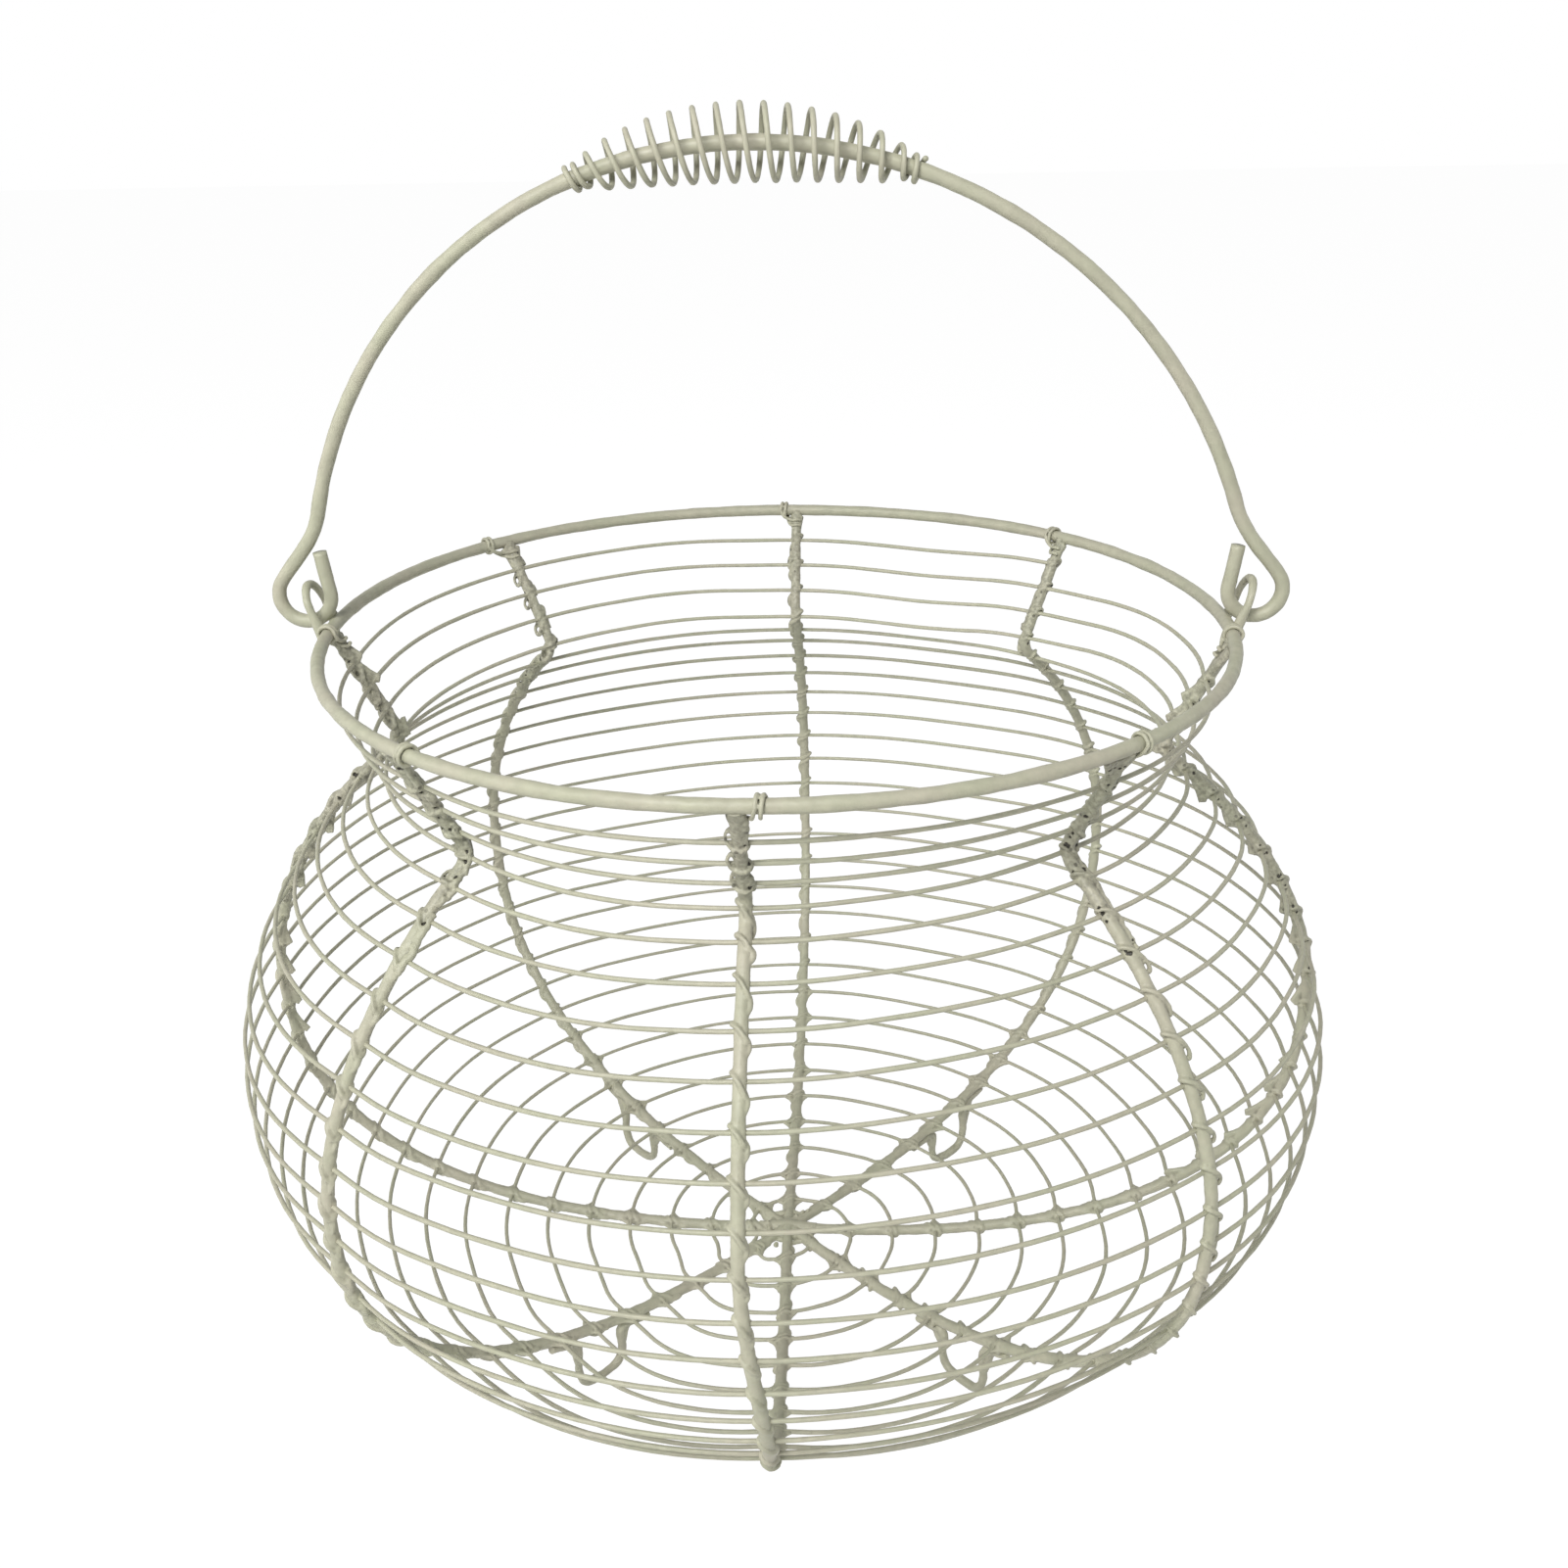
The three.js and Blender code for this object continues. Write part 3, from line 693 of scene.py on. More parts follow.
crossings = {name: [] for name in rib_names}
for step, length in walk.items():
    if step % steps_per_bay == 0:
        bay = step // steps_per_bay
        crossings[rib_at(bay)].append((length + shift_at(bay, 0.0, length), step))
print("the wire crosses the ribs", sum(map(len, crossings.values())), "times")

# %% The way of the winding wire
weft_inset = 0.4 * MM
# How far the rows bulge past the wall midway in each bay, in mm: everywhere, and besides
# that at the heel, where it sets in and fades out over these lengths
bay_bulges = [-1.5, 2.2, 2.2, 0.0, -1.0, 0.2, 1.8, 1.2]
heel_bulges = [4.6, 1.6, 0.0, 0.0, 0.0, 0.0, 0.0, 1.2]
heel_start, heel_stop = (175 * MM, 210 * MM), (255 * MM, 285 * MM)


def row_point(step):
    """The place of the winding at a step, which may lie between two steps of the walk."""
    low = math.floor(step)
    length = blend(walk[low], walk.get(low + 1, walk[low]), step - low)
    bay = low // steps_per_bay
    share = step / steps_per_bay - bay
    length += shift_at(bay, share, length)
    here = rib_azimuth(rib_at(bay), length)
    width = (rib_azimuth(rib_at(bay + 1), length) - here) % (2 * math.pi)
    azimuth = here + width * share
    place, _, _, normal = wall_frame(length, azimuth)
    hump = 4 * share * (1 - share) * outline_at(length).x / belly_radius
    heel = smoothstep(length, *heel_start) * (1 - smoothstep(length, *heel_stop))
    bulge = (bay_bulges[bay % len(ribs)] + heel_bulges[bay % len(ribs)] * heel) * MM
    return place - normal * weft_inset + outward_at(azimuth) * hump * bulge


# %% [markdown]
# ## The turns round the ribs
#
# At every crossing the fine wire comes along inside the rib, takes one full turn round
# it and goes on. Its front strand slants down to the right, and the slack of the turn
# stands off the rib. Three shapes of turn tell most of the story of this basket: a tight
# turn that hugs the rib, an eyelet that stands up beside it on the left, and a slack turn
# that hangs open on the right. Each table below is the way of the wire in millimetres
# from the middle of the rib: along the row, up the rib, and outward, and last how thick
# the painted wire is there. Each turn is then changed a little by a seeded random
# source, because no two were bent alike.

# %% Shapes of a turn
turn_end = [(-1.1, 1.4, -1.0, 1.1), (0.4, 0.6, -1.25, 1.1), (1.6, 0, -0.6, 1.1)]
turn_shapes = {
    "tight": [(-1.6, 0.3, -0.6, 1.1), (-0.6, -0.4, -1.25, 1.1), (0.9, -1.6, -1.0, 1.3),
              (1.5, -2.6, -0.2, 1.3), (1.45, -2.8, 0.8, 1.15), (0.95, -1.9, 1.55, 1.05),
              (0, -0.35, 1.95, 1.0), (-1.2, 1.0, 1.4, 1.05), (-1.85, 1.7, 0.2, 1.2),
              *turn_end],
    "eyelet": [(-1.6, 0, -0.6, 1.1), (0, 0.2, -1.3, 1.1), (1.4, 0, -0.9, 1.2),
               (1.9, -0.2, 0, 1.2), (1.4, -0.1, 1.3, 1.1), (0, 0, 2.0, 1.0),
               (-1.45, 0.4, 1.5, 0.95), (-2.5, 1.9, 0.6, 0.9), (-2.5, 3.2, 0.0, 0.9),
               (-1.5, 3.9, -0.8, 1.1), (0, 2.0, -1.3, 1.1), (1.6, 0.1, -0.6, 1.1)],
    "slack": [(-1.6, 0.3, -0.6, 1.1), (0, -1.3, -1.3, 1.1), (1.5, -3.2, -0.9, 1.3),
              (2.5, -5.0, -0.2, 1.2), (2.7, -4.0, 0.6, 1.05), (2.1, -2.3, 1.2, 1.0),
              (1.1, -1.2, 1.75, 1.0), (0, 0.1, 2.0, 1.0), (-1.25, 1.2, 1.45, 1.05),
              (-1.95, 1.9, 0.2, 1.2), *turn_end],
}
# The paint that hangs in the lower corner of a tight turn, in the same way
turn_fill = [(1.15, -1.6, 0.1, 1.1), (1.65, -3.2, 0.1, 1.7), (1.7, -4.6, 0.1, 1.6),
             (1.15, -6.4, 0.1, 0.9)]
# The turn at a rib's upper crossings, down to a length in mm. All other turns are tight
rib_turns = {"front": ("eyelet", 32), "front_right": ("slack", 300), "back_left": ("slack", 60),
             "left": ("slack", 90), "front_left": ("eyelet", 50)}


def draw_table(wires, table, frame_here, slack, hang, fat):
    """Draws a wire from a table of ways along, up and outward, and of thickness, in mm."""
    place, along, upward, normal = frame_here
    points = []
    for u, v, w, _ in table:
        points.append(place + (along * u * slack + upward * v * hang + normal * w) * MM)
    spline = add_wire(wires, points, weft_wire)
    for knot, (_, _, _, thickness) in zip(spline.bezier_points, table):
        knot.radius = thickness * fat / 2 * MM


def draw_turn(wires, name, length, chance):
    """Draws the fine wire's turn round a rib, with its own slant and slack."""
    upper, change = rib_turns.get(name, ("tight", 0))
    kind = upper if length < change * MM else "tight"
    here = rib_frame(name, length)
    slack, hang = chance.uniform(0.95, 1.1), chance.uniform(0.8, 1.2)
    draw_table(wires, turn_shapes[kind], here, slack, hang, chance.uniform(0.92, 1.12))
    if kind == "tight":
        slack = chance.uniform(0.85, 1.1)
        draw_table(wires, turn_fill, here, slack, hang, chance.uniform(0.8, 1.1))


# %% [markdown]
# ## Webs of paint
#
# Under the rim, and further down on some ribs, the paint was laid on so thickly that it
# closed most of the gaps between the turns and the rib, and left small holes where it
# didn't. We draw that as short fat strands along the rib, beside it and between its turns,
# some of them left out. Once everything is melted together they read as a lumpy skin.

# %% Short strands of paint beside a rib
# For each rib, in mm: how far beside it and how far outward the strands lie, and down to
# which length. The last number is the chance that a strand is there
rib_webs = {
    "front": (1.5, 0.2, 30, 0.45),
    "front_right": (2.1, 0.1, 62, 0.95),
    "right": (2.0, 0.2, 120, 0.7),
    "back_right": (1.6, 0.0, 40, 0.4),
    "back": (1.6, 0.0, 22, 0.3),
    "back_left": (-1.9, 0.0, 70, 0.7),
    "left": (2.0, 0.2, 80, 0.7),
    "front_left": (2.1, 0.1, 66, 0.9),
}


def draw_webs(wires, name, seed, chance):
    """Draws short strands of paint beside the rib, down to its last rough crossing."""
    side, outward, end, chance_of_one = rib_webs[name]
    length = 2.2 * MM
    while length < end * MM:
        step = chance.uniform(1.5, 3.0) * MM
        if chance.random() < chance_of_one:
            near, far = chance.uniform(0.7, 1.25), chance.uniform(0.7, 1.25)
            points = []
            for share, reach in ((0.0, near), (0.5, (near + far) / 2 + 0.15), (1.0, far)):
                place, along, _, normal = rib_frame(name, length + share * step * 1.3)
                lean = outward + chance.uniform(-0.5, 0.5)
                points.append(place + (along * side * reach + normal * lean) * MM)
            add_wire(wires, points, chance.uniform(1.1, 2.0) * MM, swell=0.3, seed=seed)
        length += step


# %% Corners of paint where the rows meet a rib
# Under the base all four corners may be filled. Each strand has two places, along the row
# and up the rib, and a last one on the row itself, all in mm from the crossing
base_corner = [((1.2, 4.2), (1.9, 1.9), 4.2), ((1.2, 2.5), (2.0, 1.2), 2.9)]
base_reach, corner_chance = 205 * MM, 0.75
# On the side ribs a fin of paint widens down to each row, inside the basket. Its places
# are outward and up the rib, in mm
side_fin = [((-1.0, 7.0), (-2.4, 3.4), (-3.7, 0.5)), ((-1.0, 4.4), (-2.0, 2.4), (-2.7, 0.6)),
            ((-0.6, 2.2), (-1.6, 1.4), (-3.3, 0.0))]
fin_reach, fin_chance = {"right": 205 * MM, "left": 150 * MM}, 0.85


def draw_corners(wires, name, length, step, chance):
    """Fills some of the corners between a rib and the row that crosses it there."""
    place, along, upward, normal = rib_frame(name, length)
    if length > base_reach:
        bay_length = place.xy.length * math.pi / 4
        for side, up in ((1, 1), (1, -1), (-1, 1), (-1, -1)):
            size = chance.uniform(0.7, 1.1)
            if chance.random() > corner_chance:
                continue
            for *bends, end in base_corner:
                ways = [along * u * side + upward * v * up for u, v in bends]
                move = side * end * size * MM / bay_length * steps_per_bay
                if min(walk) < step + move < max(walk):
                    points = [place + way * size * MM for way in ways]
                    points.append(row_point(step + move))
                    add_wire(wires, points, 1.2 * MM, ends=(1.0, 0.7))
    elif length < fin_reach.get(name, 0.0) and chance.random() < fin_chance:
        size = chance.uniform(0.75, 1.1)
        for strand in side_fin:
            points = [place + (normal * w + upward * v) * size * MM for w, v in strand]
            add_wire(wires, points, 1.5 * MM, swell=0.3)


# %% The middle line of a rib and all that is on it
rib_top, rib_step, rib_thickness = rim_wire / 2 - 0.5 * MM, 4 * MM, rib_wire * 1.1
holes_at_a_turn = 4
# How wide the paint spreads along the rim above each rib, in mm
spreads = {"front_right": 6.2, "front_left": 4.0, "right": 4.5, "left": 3.0, "back_left": 2.5}
least_spread = 1.5


def rib_path(name):
    """The middle line of a rib, from inside the rim's paint to the middle of the base."""
    count = int(wall_length / rib_step)
    lengths = [rib_top + (wall_length - rib_top) * i / count for i in range(count + 1)]
    return [rib_frame(name, s)[0] for s in lengths]


def draw_fan(wires, name, seed, chance):
    """Spreads the paint of a rib's top along the rim, and gives back the holes in it."""
    holes, widest = [], spreads.get(name, least_spread)
    place, along, upward, normal = wall_frame(1.2 * MM, rib_azimuth(name, 0.0))
    for i in range(-3, 4):
        fan = []
        for share in (1.0, 0.6, 0.0):
            down = upward * (1.0 + 8 * (1 - share)) * chance.uniform(0.8, 1.1)
            fan.append(place + (along * (widest * i / 3) * share - down) * MM)
        add_wire(wires, fan, chance.uniform(1.6, 2.3) * MM, swell=0.4, seed=seed + i)
        if name in spreads:
            holes.append((fan[1] + normal * 1.5 * MM, chance.uniform(0.35, 0.65) * MM))
    collar = [rib_frame(name, s * MM)[0] for s in (0.6, 2.2, 4.4)]
    add_wire(wires, collar, rib_wire * 1.12, seed=seed, ends=(1.35, 0.6))
    return holes


def draw_turns(wires, name, seed):
    """Draws a rib's turns, its webs and the paint under the rim, and gives back its holes."""
    chance, holes = random.Random(seed), []
    for length, step in crossings[name]:
        draw_turn(wires, name, length, chance)
        draw_corners(wires, name, length, step, chance)
        place, along, upward, normal = rib_frame(name, length)
        for _ in range(holes_at_a_turn if length < rib_webs[name][2] * MM else 0):
            way = along * chance.choice((-1.8, -1.4, 1.4, 1.8))
            way += upward * chance.uniform(-2.0, 2.5)
            way += normal * chance.uniform(0.0, 1.6)
            holes.append((place + way * MM, chance.uniform(0.3, 0.62) * MM))
    draw_webs(wires, name, seed, chance)
    return holes + draw_fan(wires, name, seed, chance)


# %% Melt each rib with its turns and its webs
rib_voxel, hoop_voxel, rib_relief = 0.31 * MM, 0.37 * MM, 0.13 * MM
# How far down from the neck's height the coat of a rib is rough, in mm
rough_depths = {"front_right": 16, "front_left": 16, "back_left": 24, "front": 4}
least_rough_depth, hoop_rough_depth = 6, 60


def painted(piece, voxel, relief, rough_from=1.0, holes=()):
    """One skin of paint over a piece's wires, lumpy at two sizes, with its marks."""
    melt(piece, voxel, 2)
    lumps(piece, 3.2 * MM, relief)
    lumps(piece, 0.9 * MM, relief * 0.45)
    dent(piece, holes)
    return mark(piece, rough_from)


for index, name in enumerate(rib_names):
    if name in ("left", "right"):
        continue
    wires = new_wires("painted_rib_" + name, 4, 12)
    add_wire(wires, rib_path(name), rib_thickness, swell=0.08, seed=index)
    holes = draw_turns(wires, name, 40 + index)
    rough_from = neck_height - rough_depths.get(name, least_rough_depth) * MM
    rib = painted(to_mesh(wires), rib_voxel, rib_relief, rough_from, holes)
    finish(rib, frame_paint, "basket", "frame_wire", "rib_" + name)

# %% The left and right ribs are one wire
wires = new_wires("painted_rib_left_right", 4, 12)
add_wire(wires, rib_path("right") + rib_path("left")[-2::-1], rib_thickness, swell=0.08)
holes = draw_turns(wires, "right", 50) + draw_turns(wires, "left", 51)
rough_from = neck_height - hoop_rough_depth * MM
hoop = painted(to_mesh(wires), hoop_voxel, rib_relief, rough_from, holes)
finish(hoop, frame_paint, "basket", "frame_wire", "rib_hoop_left_right")

# %% [markdown]
# ## The rows between the ribs
#
# Between two ribs the fine wire is a plain shallow arc. Midway it bulges a little past the
# wall in most bays, most of all at the two sides, because the ribs there were pushed
# together, and it is drawn in a little in one bay at the front and one at the back. A row
# passes straight on behind each rib, where the turn starts and ends on it, so each length
# of the winding is one long wire.

# %% Rows of fine wire
row_steps = 2
row_wire = weft_wire * 0.92

step, last = first_step, frame_step
for band, turns in bands.items():
    last = min(last + int(turns * turn_steps), last_step)
    points = [row_point(step + i / row_steps) for i in range((last - step) * row_steps + 1)]
    wires = new_wires("rows_" + band, 3, 10)
    add_wire(wires, points, row_wire, swell=0.12)
    step = last
    rows = lumps(to_mesh(wires), 2.5 * MM, 0.05 * MM)
    finish(rows, fine_paint, "basket", "fine_wire", "weft_" + band)

# %% [markdown]
# ## The rim
#
# The rim is the stoutest wire of the basket, bent by hand into a ring that isn't quite
# round. The curve takes the same pinches as the working model. Its paint is thick and even,
# so it only needs shallow lumps and no melting.

# %% Rim ring
rim_knots = 96
wires = new_wires("painted_rim", 12, 24)
rim_path = [wall_frame(0.0, 2 * math.pi * i / rim_knots)[0] for i in range(rim_knots)]
add_wire(wires, rim_path, rim_wire, closed=True, swell=0.05)
rim = lumps(lumps(to_mesh(wires), 7 * MM, 0.12 * MM), 2.6 * MM, 0.06 * MM)
finish(rim, frame_paint, "basket", "frame_wire", "rim_ring")

# %% [markdown]
# ## Lashings
#
# Each rib is tied to the rim by a short piece of the fine wire. It starts behind the rib,
# passes twice over the rim beside it and comes back behind the rib. Paint has glued it all
# together, so we pull the wire tight and melt its strands.

# %% Lashings round the rim
lashing_drop, lashing_gap = 7 * MM, 0.15 * MM
# How far beside the middle of its rib a lashing crosses the rim
lashing_offsets = {"front": 4.1 * MM, "front_left": 6.4 * MM, "back_left": 6.2 * MM}
least_offset = 3 * MM


def lashing_path(name):
    """The way of the tie: from behind the rib, over the rim twice, and back behind the rib."""
    azimuth = rib_azimuth(name, 0.0)
    centre, along, upward, face = wall_frame(0.0, azimuth)
    out = outward_at(azimuth)
    round_rib = (rib_wire + lashing_wire) / 2
    round_rim = (rim_wire + lashing_wire) / 2
    strands = lashing_wire + lashing_gap
    points = []

    def at_rib(drop, angle):
        turned = along * math.cos(angle) + face * math.sin(angle)
        points.append(centre - upward * drop + turned * round_rib)

    def over_rim(angle):
        sideways = lashing_offsets.get(name, least_offset) + strands * angle / (2 * math.pi)
        turned = out * math.cos(angle) + Vector((0, 0, math.sin(angle)))
        points.append(centre + along * sideways + turned * round_rim)

    for eighth in (-3, -2, -1):
        at_rib(lashing_drop * 0.8, eighth * math.pi / 4)
    for eighth in range(13):
        over_rim(eighth * math.pi / 4)
    for eighth in (1, 2, 3):
        at_rib(lashing_drop * 0.55, -eighth * math.pi / 4)
    return points


for index, name in enumerate(rib_names):
    wires = new_wires("tie_" + name, 6, 12)
    add_wire(wires, lashing_path(name), lashing_wire * 0.85, swell=0.12, seed=index)
    tie = painted(to_mesh(wires), 0.22 * MM, 0.06 * MM)
    finish(tie, frame_paint, "basket", "frame_wire", "rim_lashing_" + name)

# %% [markdown]
# ## Feet
#
# The basket stands on four loops of stout wire under its diagonal ribs. Each loop's ends
# lie along the rib, and so much paint hangs in its corners that they are filled. A few
# short fat strands in the corners do that when the foot is melted.

# %% Foot loops
foot_radius, foot_width, foot_bend, foot_tail = 74.3 * MM, 15 * MM, 5.2 * MM, 9 * MM
foot_under = (rib_wire + foot_wire) / 2


def length_at_radius(radius):
    """The distance down the wall at which its underside has a radius."""
    return next(s for s, p in zip(reached, outline) if s > belly_length and p.x < radius)


def foot_wires(name, wires, seed):
    """Draws one foot: a loop of wire under a rib, and the paint in its two corners."""
    azimuth = rib_azimuth(name, wall_length)
    inner, outer = foot_radius - foot_width / 2, foot_radius + foot_width / 2

    def below(radius, gap=foot_under):
        place, _, _, normal = wall_frame(length_at_radius(radius), azimuth)
        return place + normal * gap

    def on_ground(radius, height=foot_wire / 2):
        return outward_at(azimuth) * radius + Vector((0, 0, height))

    def leg(radius, way):
        """One leg, from its end along the rib down to the ground."""
        ends = [below(radius + way * reach) for reach in (foot_tail, foot_tail * 0.4)]
        return [*ends, below(radius + way * foot_bend * 0.2), on_ground(radius, foot_bend),
                on_ground(radius - way * foot_bend * 0.35, foot_wire / 2 + 1.0 * MM),
                on_ground(radius - way * foot_bend)]

    loop = leg(outer, 1) + leg(inner, -1)[::-1]
    add_wire(wires, loop, foot_wire * 1.06, swell=0.2, seed=seed)
    chance = random.Random(70 + seed)
    for radius, reach in ((outer, 1), (inner, -1)):
        for _ in range(3):
            start = below(radius + reach * chance.uniform(1.5, 5.0) * MM, foot_under * 0.5)
            stop = on_ground(radius, foot_bend + chance.uniform(1.0, 2.6) * MM)
            strand, thickness = [start, start.lerp(stop, 0.5), stop], chance.uniform(1.2, 2.2)
            add_wire(wires, strand, thickness * MM, swell=0.4)


for index, name in enumerate(("front_right", "back_right", "back_left", "front_left")):
    wires = new_wires("painted_foot_" + name, 5, 12)
    foot_wires(name, wires, index)
    foot = painted(to_mesh(wires), 0.3 * MM, 0.16 * MM)
    finish(foot, frame_paint, "basket", "frame_wire", "foot_" + name)

# %% [markdown]
# ## Ears
#
# An ear is a small loop of wire at each side, which stands up outside the rim and leans
# outwards. The handle's hook hangs in it. Its two ends are tucked under the rim.

# %% Ear loops
ear_width, ear_rise, ear_lean, ear_tuck = 12 * MM, 10.8 * MM, 3.6 * MM, math.radians(50)


def ear_path(azimuth):
    """The way of an ear: up one leg from under the rim, round the loop and down the other."""
    out, along = outward_at(azimuth), along_at(azimuth)
    rim_x = rim_radius - pinch_at(azimuth)
    half, round_rim = ear_width / 2, (rim_wire + ear_wire) / 2
    leg = []
    for share in (1.0, 0.5):
        angle = ear_tuck * share
        leg.append((rim_x + round_rim * math.cos(angle), half, -round_rim * math.sin(angle)))
    for step in range(7):
        angle = math.pi / 2 * step / 6
        rise = ear_rise - half + half * math.sin(angle)
        leg.append((rim_x + round_rim + ear_lean * rise / ear_rise, half * math.cos(angle), rise))
    route = leg + [(x, -y, z) for x, y, z in leg[-2::-1]]
    return [out * x + along * y + Vector((0, 0, rim_height + z)) for x, y, z in route]


for side, azimuth in (("left", -math.pi / 2), ("right", math.pi / 2)):
    wires = new_wires("painted_ear_" + side, 5, 12)
    path = ear_path(azimuth)
    add_wire(wires, path, ear_wire * 1.2, swell=0.12)
    for foot_of_ear, leg_of_ear in ((path[0], path[2]), (path[-1], path[-3])):
        add_wire(wires, [foot_of_ear, leg_of_ear], ear_wire * 1.5, swell=0.3, ends=(1.2, 0.8))
    ear = painted(to_mesh(wires), 0.24 * MM, 0.10 * MM)
    finish(ear, frame_paint, "basket", "frame_wire", "ear_" + side)

# %% [markdown]
# ## The bail
#
# The bail is the swinging handle: one stout wire, bent to half an ellipse, with a hook at
# each end. The hook is most of a circle, and a straight stretch runs from it to the arch,
# where a short bend softens the corner. We work out the right half and mirror it.

# %% Bail sizes
hook_radius, hook_outset, hook_leg = 7 * MM, 7.39 * MM, 11 * MM
hook_outer_angle, hook_inner_angle = math.radians(39), math.radians(172)
arch_inset, arch_dip, arch_rise, arch_skew = 1.4 * MM, 13.1 * MM, 110.7 * MM, 4.2 * MM
shoulder_bend, touch = 6 * MM, 0.3 * MM

rim_at_hook = rim_radius - pinch_at(math.pi / 2)
hook_to_rim = hook_radius + bail_wire / 2 + touch + rim_wire / 2
hook_x = rim_at_hook + hook_outset
hook_z = rim_height + math.sqrt(hook_to_rim ** 2 - hook_outset ** 2)
arch_width = hook_x - arch_inset
arch_height = arch_rise + arch_dip
arch_foot = hook_z - arch_dip
print("the bail stands", round((arch_foot + arch_height) / MM, 1), "mm high in its middle line")


# %% The way of the bail
def arch_at(angle):
    """A place on the arch: 0 is its widest place and a quarter turn its top."""
    return Vector((arch_width * math.cos(angle), arch_foot + arch_height * math.sin(angle)))


def hook_at(angle):
    return Vector((hook_x + hook_radius * math.cos(angle), hook_z + hook_radius * math.sin(angle)))


def shoulder_angle():
    """The angle on the arch where the straight stretch above the hook runs into it."""
    along, up = -math.sin(hook_outer_angle), math.cos(hook_outer_angle)
    slope = Vector((along / arch_width, up / arch_height))
    start = hook_at(hook_outer_angle) - Vector((0, arch_foot))
    start = Vector((start.x / arch_width, start.y / arch_height))
    steep = slope.length_squared
    near = start.dot(slope) / steep
    reach = -near - math.sqrt(near ** 2 - (start.length_squared - 1) / steep)
    place = start + slope * reach
    return math.atan2(place.y, place.x)


shoulder_turn = shoulder_angle()
shoulder = arch_at(shoulder_turn)


def half_bail():
    """The right half in its own plane, from the tip of the hook to the top of the arch."""
    leg_foot = hook_at(hook_inner_angle)
    leg = Vector((math.sin(hook_inner_angle), -math.cos(hook_inner_angle)))
    points = [leg_foot + leg * hook_leg * share for share in (1.0, 0.5, 0.15)]
    turn = 2 * math.pi + hook_outer_angle - hook_inner_angle
    points += [hook_at(hook_inner_angle + turn * i / 14) for i in range(15)]
    arch_start = shoulder_turn + shoulder_bend / arch_height
    hook_end, bend_end = hook_at(hook_outer_angle), arch_at(arch_start)
    bend_start = shoulder.lerp(hook_end, shoulder_bend / (hook_end - shoulder).length)
    points.append(hook_end.lerp(bend_start, 0.5))
    points += rounded(bend_start, shoulder, bend_end, 4)
    points += [arch_at(blend(arch_start, math.pi / 2, i / 24)) for i in range(1, 25)]
    return points


def skewed(x, z):
    """The arch was bent a little to the left, more towards its top."""
    share = max((z - shoulder.y) / (arch_foot + arch_height - shoulder.y), 0.0)
    return Vector((x - arch_skew * share, 0.0, z))


right_half = half_bail()
bail_path = [skewed(p.x, p.y) for p in right_half]
bail_path += [skewed(-p.x, p.y) for p in right_half[-2::-1]]
wires = new_wires("painted_bail", 6, 24)
add_wire(wires, bail_path, bail_wire, swell=0.05)
bail = lumps(lumps(to_mesh(wires), 5 * MM, 0.14 * MM), 1.2 * MM, 0.05 * MM)
finish(bail, handle_paint, "handle", "handle_wire", "bail")

# %% [markdown]
# ## The grip spring
#
# A loose coil of finer wire round the top of the bail makes a soft grip. Its first and
# last turns hold the bail, and the turns between them open out to a barrel shape. It is
# one long wire, and each point is found from how far along the arch it is, how far out
# from the bail and how far round it.

# %% Coil round the arch
spring_turns, spring_shift, spring_radius = 18, 1 * MM, 8.6 * MM
spring_pitch, spring_close_pitch = 5.3 * MM, 2.2 * MM
spring_close_turns, spring_ease_turns, spring_widen_power = 1.5, 1, 0.7
spring_hold = bail_wire / 2 + touch + spring_wire / 2
spring_steps = 16


def spring_pitch_at(turns):
    """How far the spring moves along in one turn, at a number of turns from its nearer end."""
    closed = spring_close_turns - spring_ease_turns / 2
    opened = smoothstep(turns, closed, closed + spring_ease_turns)
    return blend(spring_close_pitch, spring_pitch, opened)


def spring_radius_at(turns):
    share = max(turns - spring_close_turns, 0) / (spring_turns / 2 - spring_close_turns)
    return blend(spring_hold, spring_radius, math.sin(share * math.pi / 2) ** spring_widen_power)


def round_bail(along, radius, angle):
    """A place beside the arch: a way along it from the top, out from it and round it."""
    arch = math.pi / 2 - along / arch_width
    out = Vector((math.cos(arch) / arch_width, math.sin(arch) / arch_height)).normalized()
    beside = arch_at(arch) + out * radius * math.cos(angle)
    place = skewed(beside.x, beside.y)
    place.y = -radius * math.sin(angle)
    return place


spring_count = spring_turns * spring_steps
moves = [spring_pitch_at(min(i + 0.5, spring_count - i - 0.5) / spring_steps) / spring_steps
         for i in range(spring_count)]
along = -sum(moves) / 2 - spring_shift
coil = []
for i in range(spring_count + 1):
    radius = spring_radius_at(min(i, spring_count - i) / spring_steps)
    coil.append(round_bail(along, radius, i / spring_steps * 2 * math.pi))
    along += moves[i] if i < spring_count else 0.0
wires = new_wires("painted_grip_spring", 2, 14)
add_wire(wires, coil, spring_wire, swell=0.10)
spring = lumps(to_mesh(wires), 2.5 * MM, 0.06 * MM)
finish(spring, handle_paint, "handle", "handle_wire", "grip_spring")

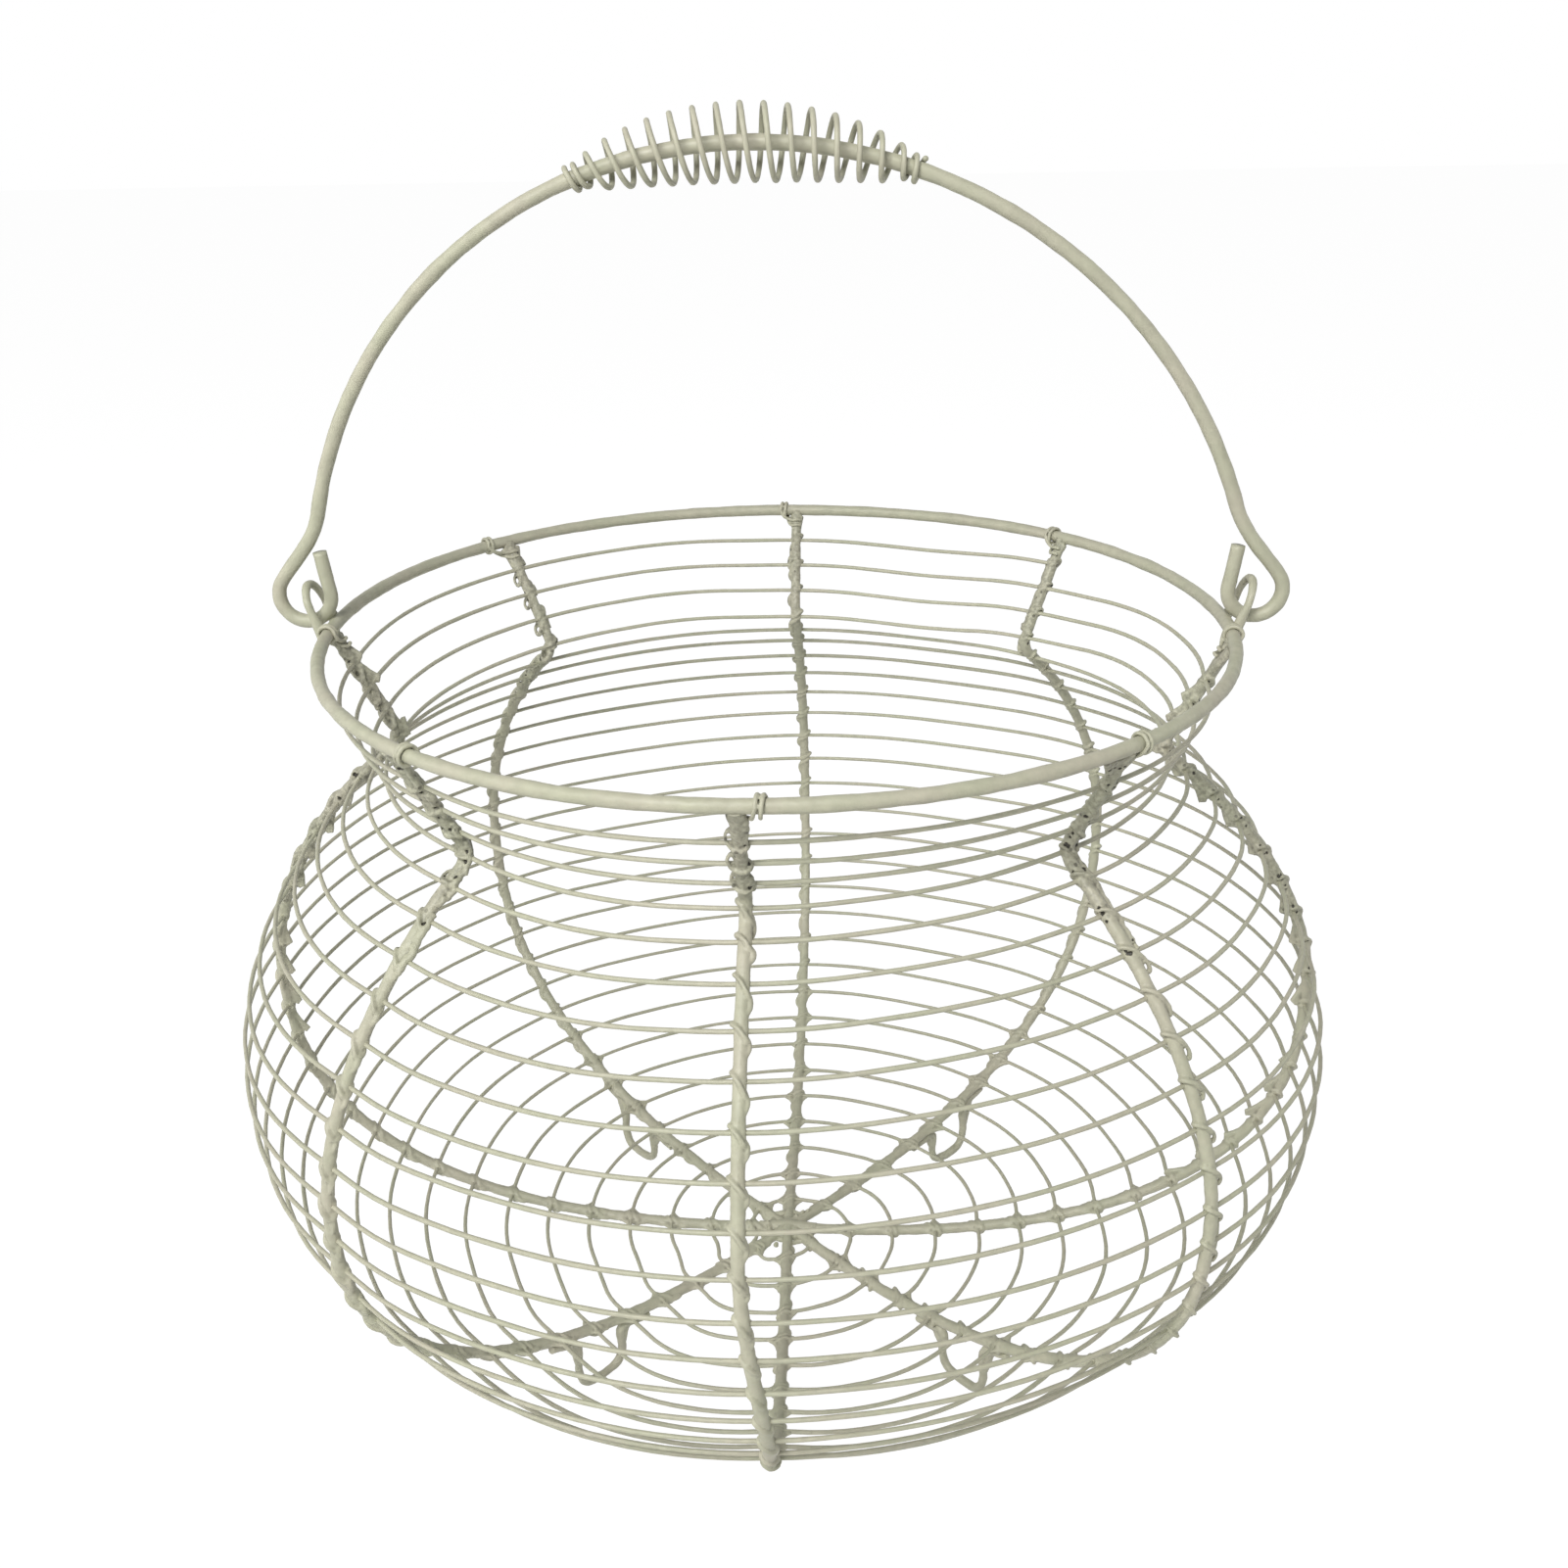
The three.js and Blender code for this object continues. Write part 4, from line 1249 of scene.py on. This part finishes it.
# %% [markdown]
# ## The knot of paint at the middle of the base
#
# Where the ribs meet under the base, the paint pooled and hung in drops while it dried. It
# joins the ribs with thin webs and a few short spikes. These are strands again, drawn
# between neighbouring ribs a little way out from the middle.

# %% Knot under the base
# The strands through the middle: the rib they lie along, their half length and thickness
hub_strands = [("right", 9, 4.4), ("front", 5, 4.0), ("front_right", 5, 3.6),
               ("front_left", 6, 3.6)]
# How far from the middle the webs lie, in mm, and how many spikes stand there
rings, spikes, spike_wire = (3.0, 5.2, 7.6), 7, 1.3 * MM

chance = random.Random(90)
wires = new_wires("base_knot", 4, 10)
hub = rib_frame("right", wall_length)[0]
raised = Vector((0, 0, 0.3 * MM))
for name, reach, thickness in hub_strands:
    way = outward_at(rib_azimuth(name, wall_length)) * reach * MM
    strand = [hub - way, hub + raised, hub + way]
    add_wire(wires, strand, thickness * MM, swell=0.2, ends=(0.8, 0.8))
for index, name in enumerate(rib_names):
    next_name = rib_names[(index + 1) % 8]
    for ring in rings:
        if ring > 5 and chance.random() < 0.35:
            continue
        s = wall_length - ring * chance.uniform(0.85, 1.15) * MM
        start = rib_frame(name, s)[0]
        stop = rib_frame(next_name, s)[0]
        sag = Vector((0, 0, chance.uniform(-0.9, 0.5) * MM))
        middle = start.lerp(stop, 0.5) * 0.92 + sag
        middle.z = start.z + sag.z
        thickness = chance.uniform(1.2, 2.4) * MM
        add_wire(wires, [start, middle, stop], thickness, swell=0.4, seed=index)
for _ in range(spikes):
    azimuth, ring = chance.uniform(0, 2 * math.pi), chance.uniform(4, 11) * MM
    root = outward_at(azimuth) * ring + Vector((0, 0, base_height + 0.4 * MM))
    lean = (chance.uniform(-1, 1), chance.uniform(-1, 1), chance.uniform(1.5, 2.6))
    tip = root + Vector(lean) * MM
    add_wire(wires, [root, root.lerp(tip, 0.6), tip], spike_wire, ends=(1.4, 0.4))
knot = painted(to_mesh(wires), 0.3 * MM, 0.16 * MM)
finish(knot, frame_paint, "basket", "frame_wire")

# %% [markdown]
# ## The colour view
#
# The last line sets the scene's view transform to Standard.

# %% Finish
bpy.context.scene.view_settings.view_transform = "Standard"
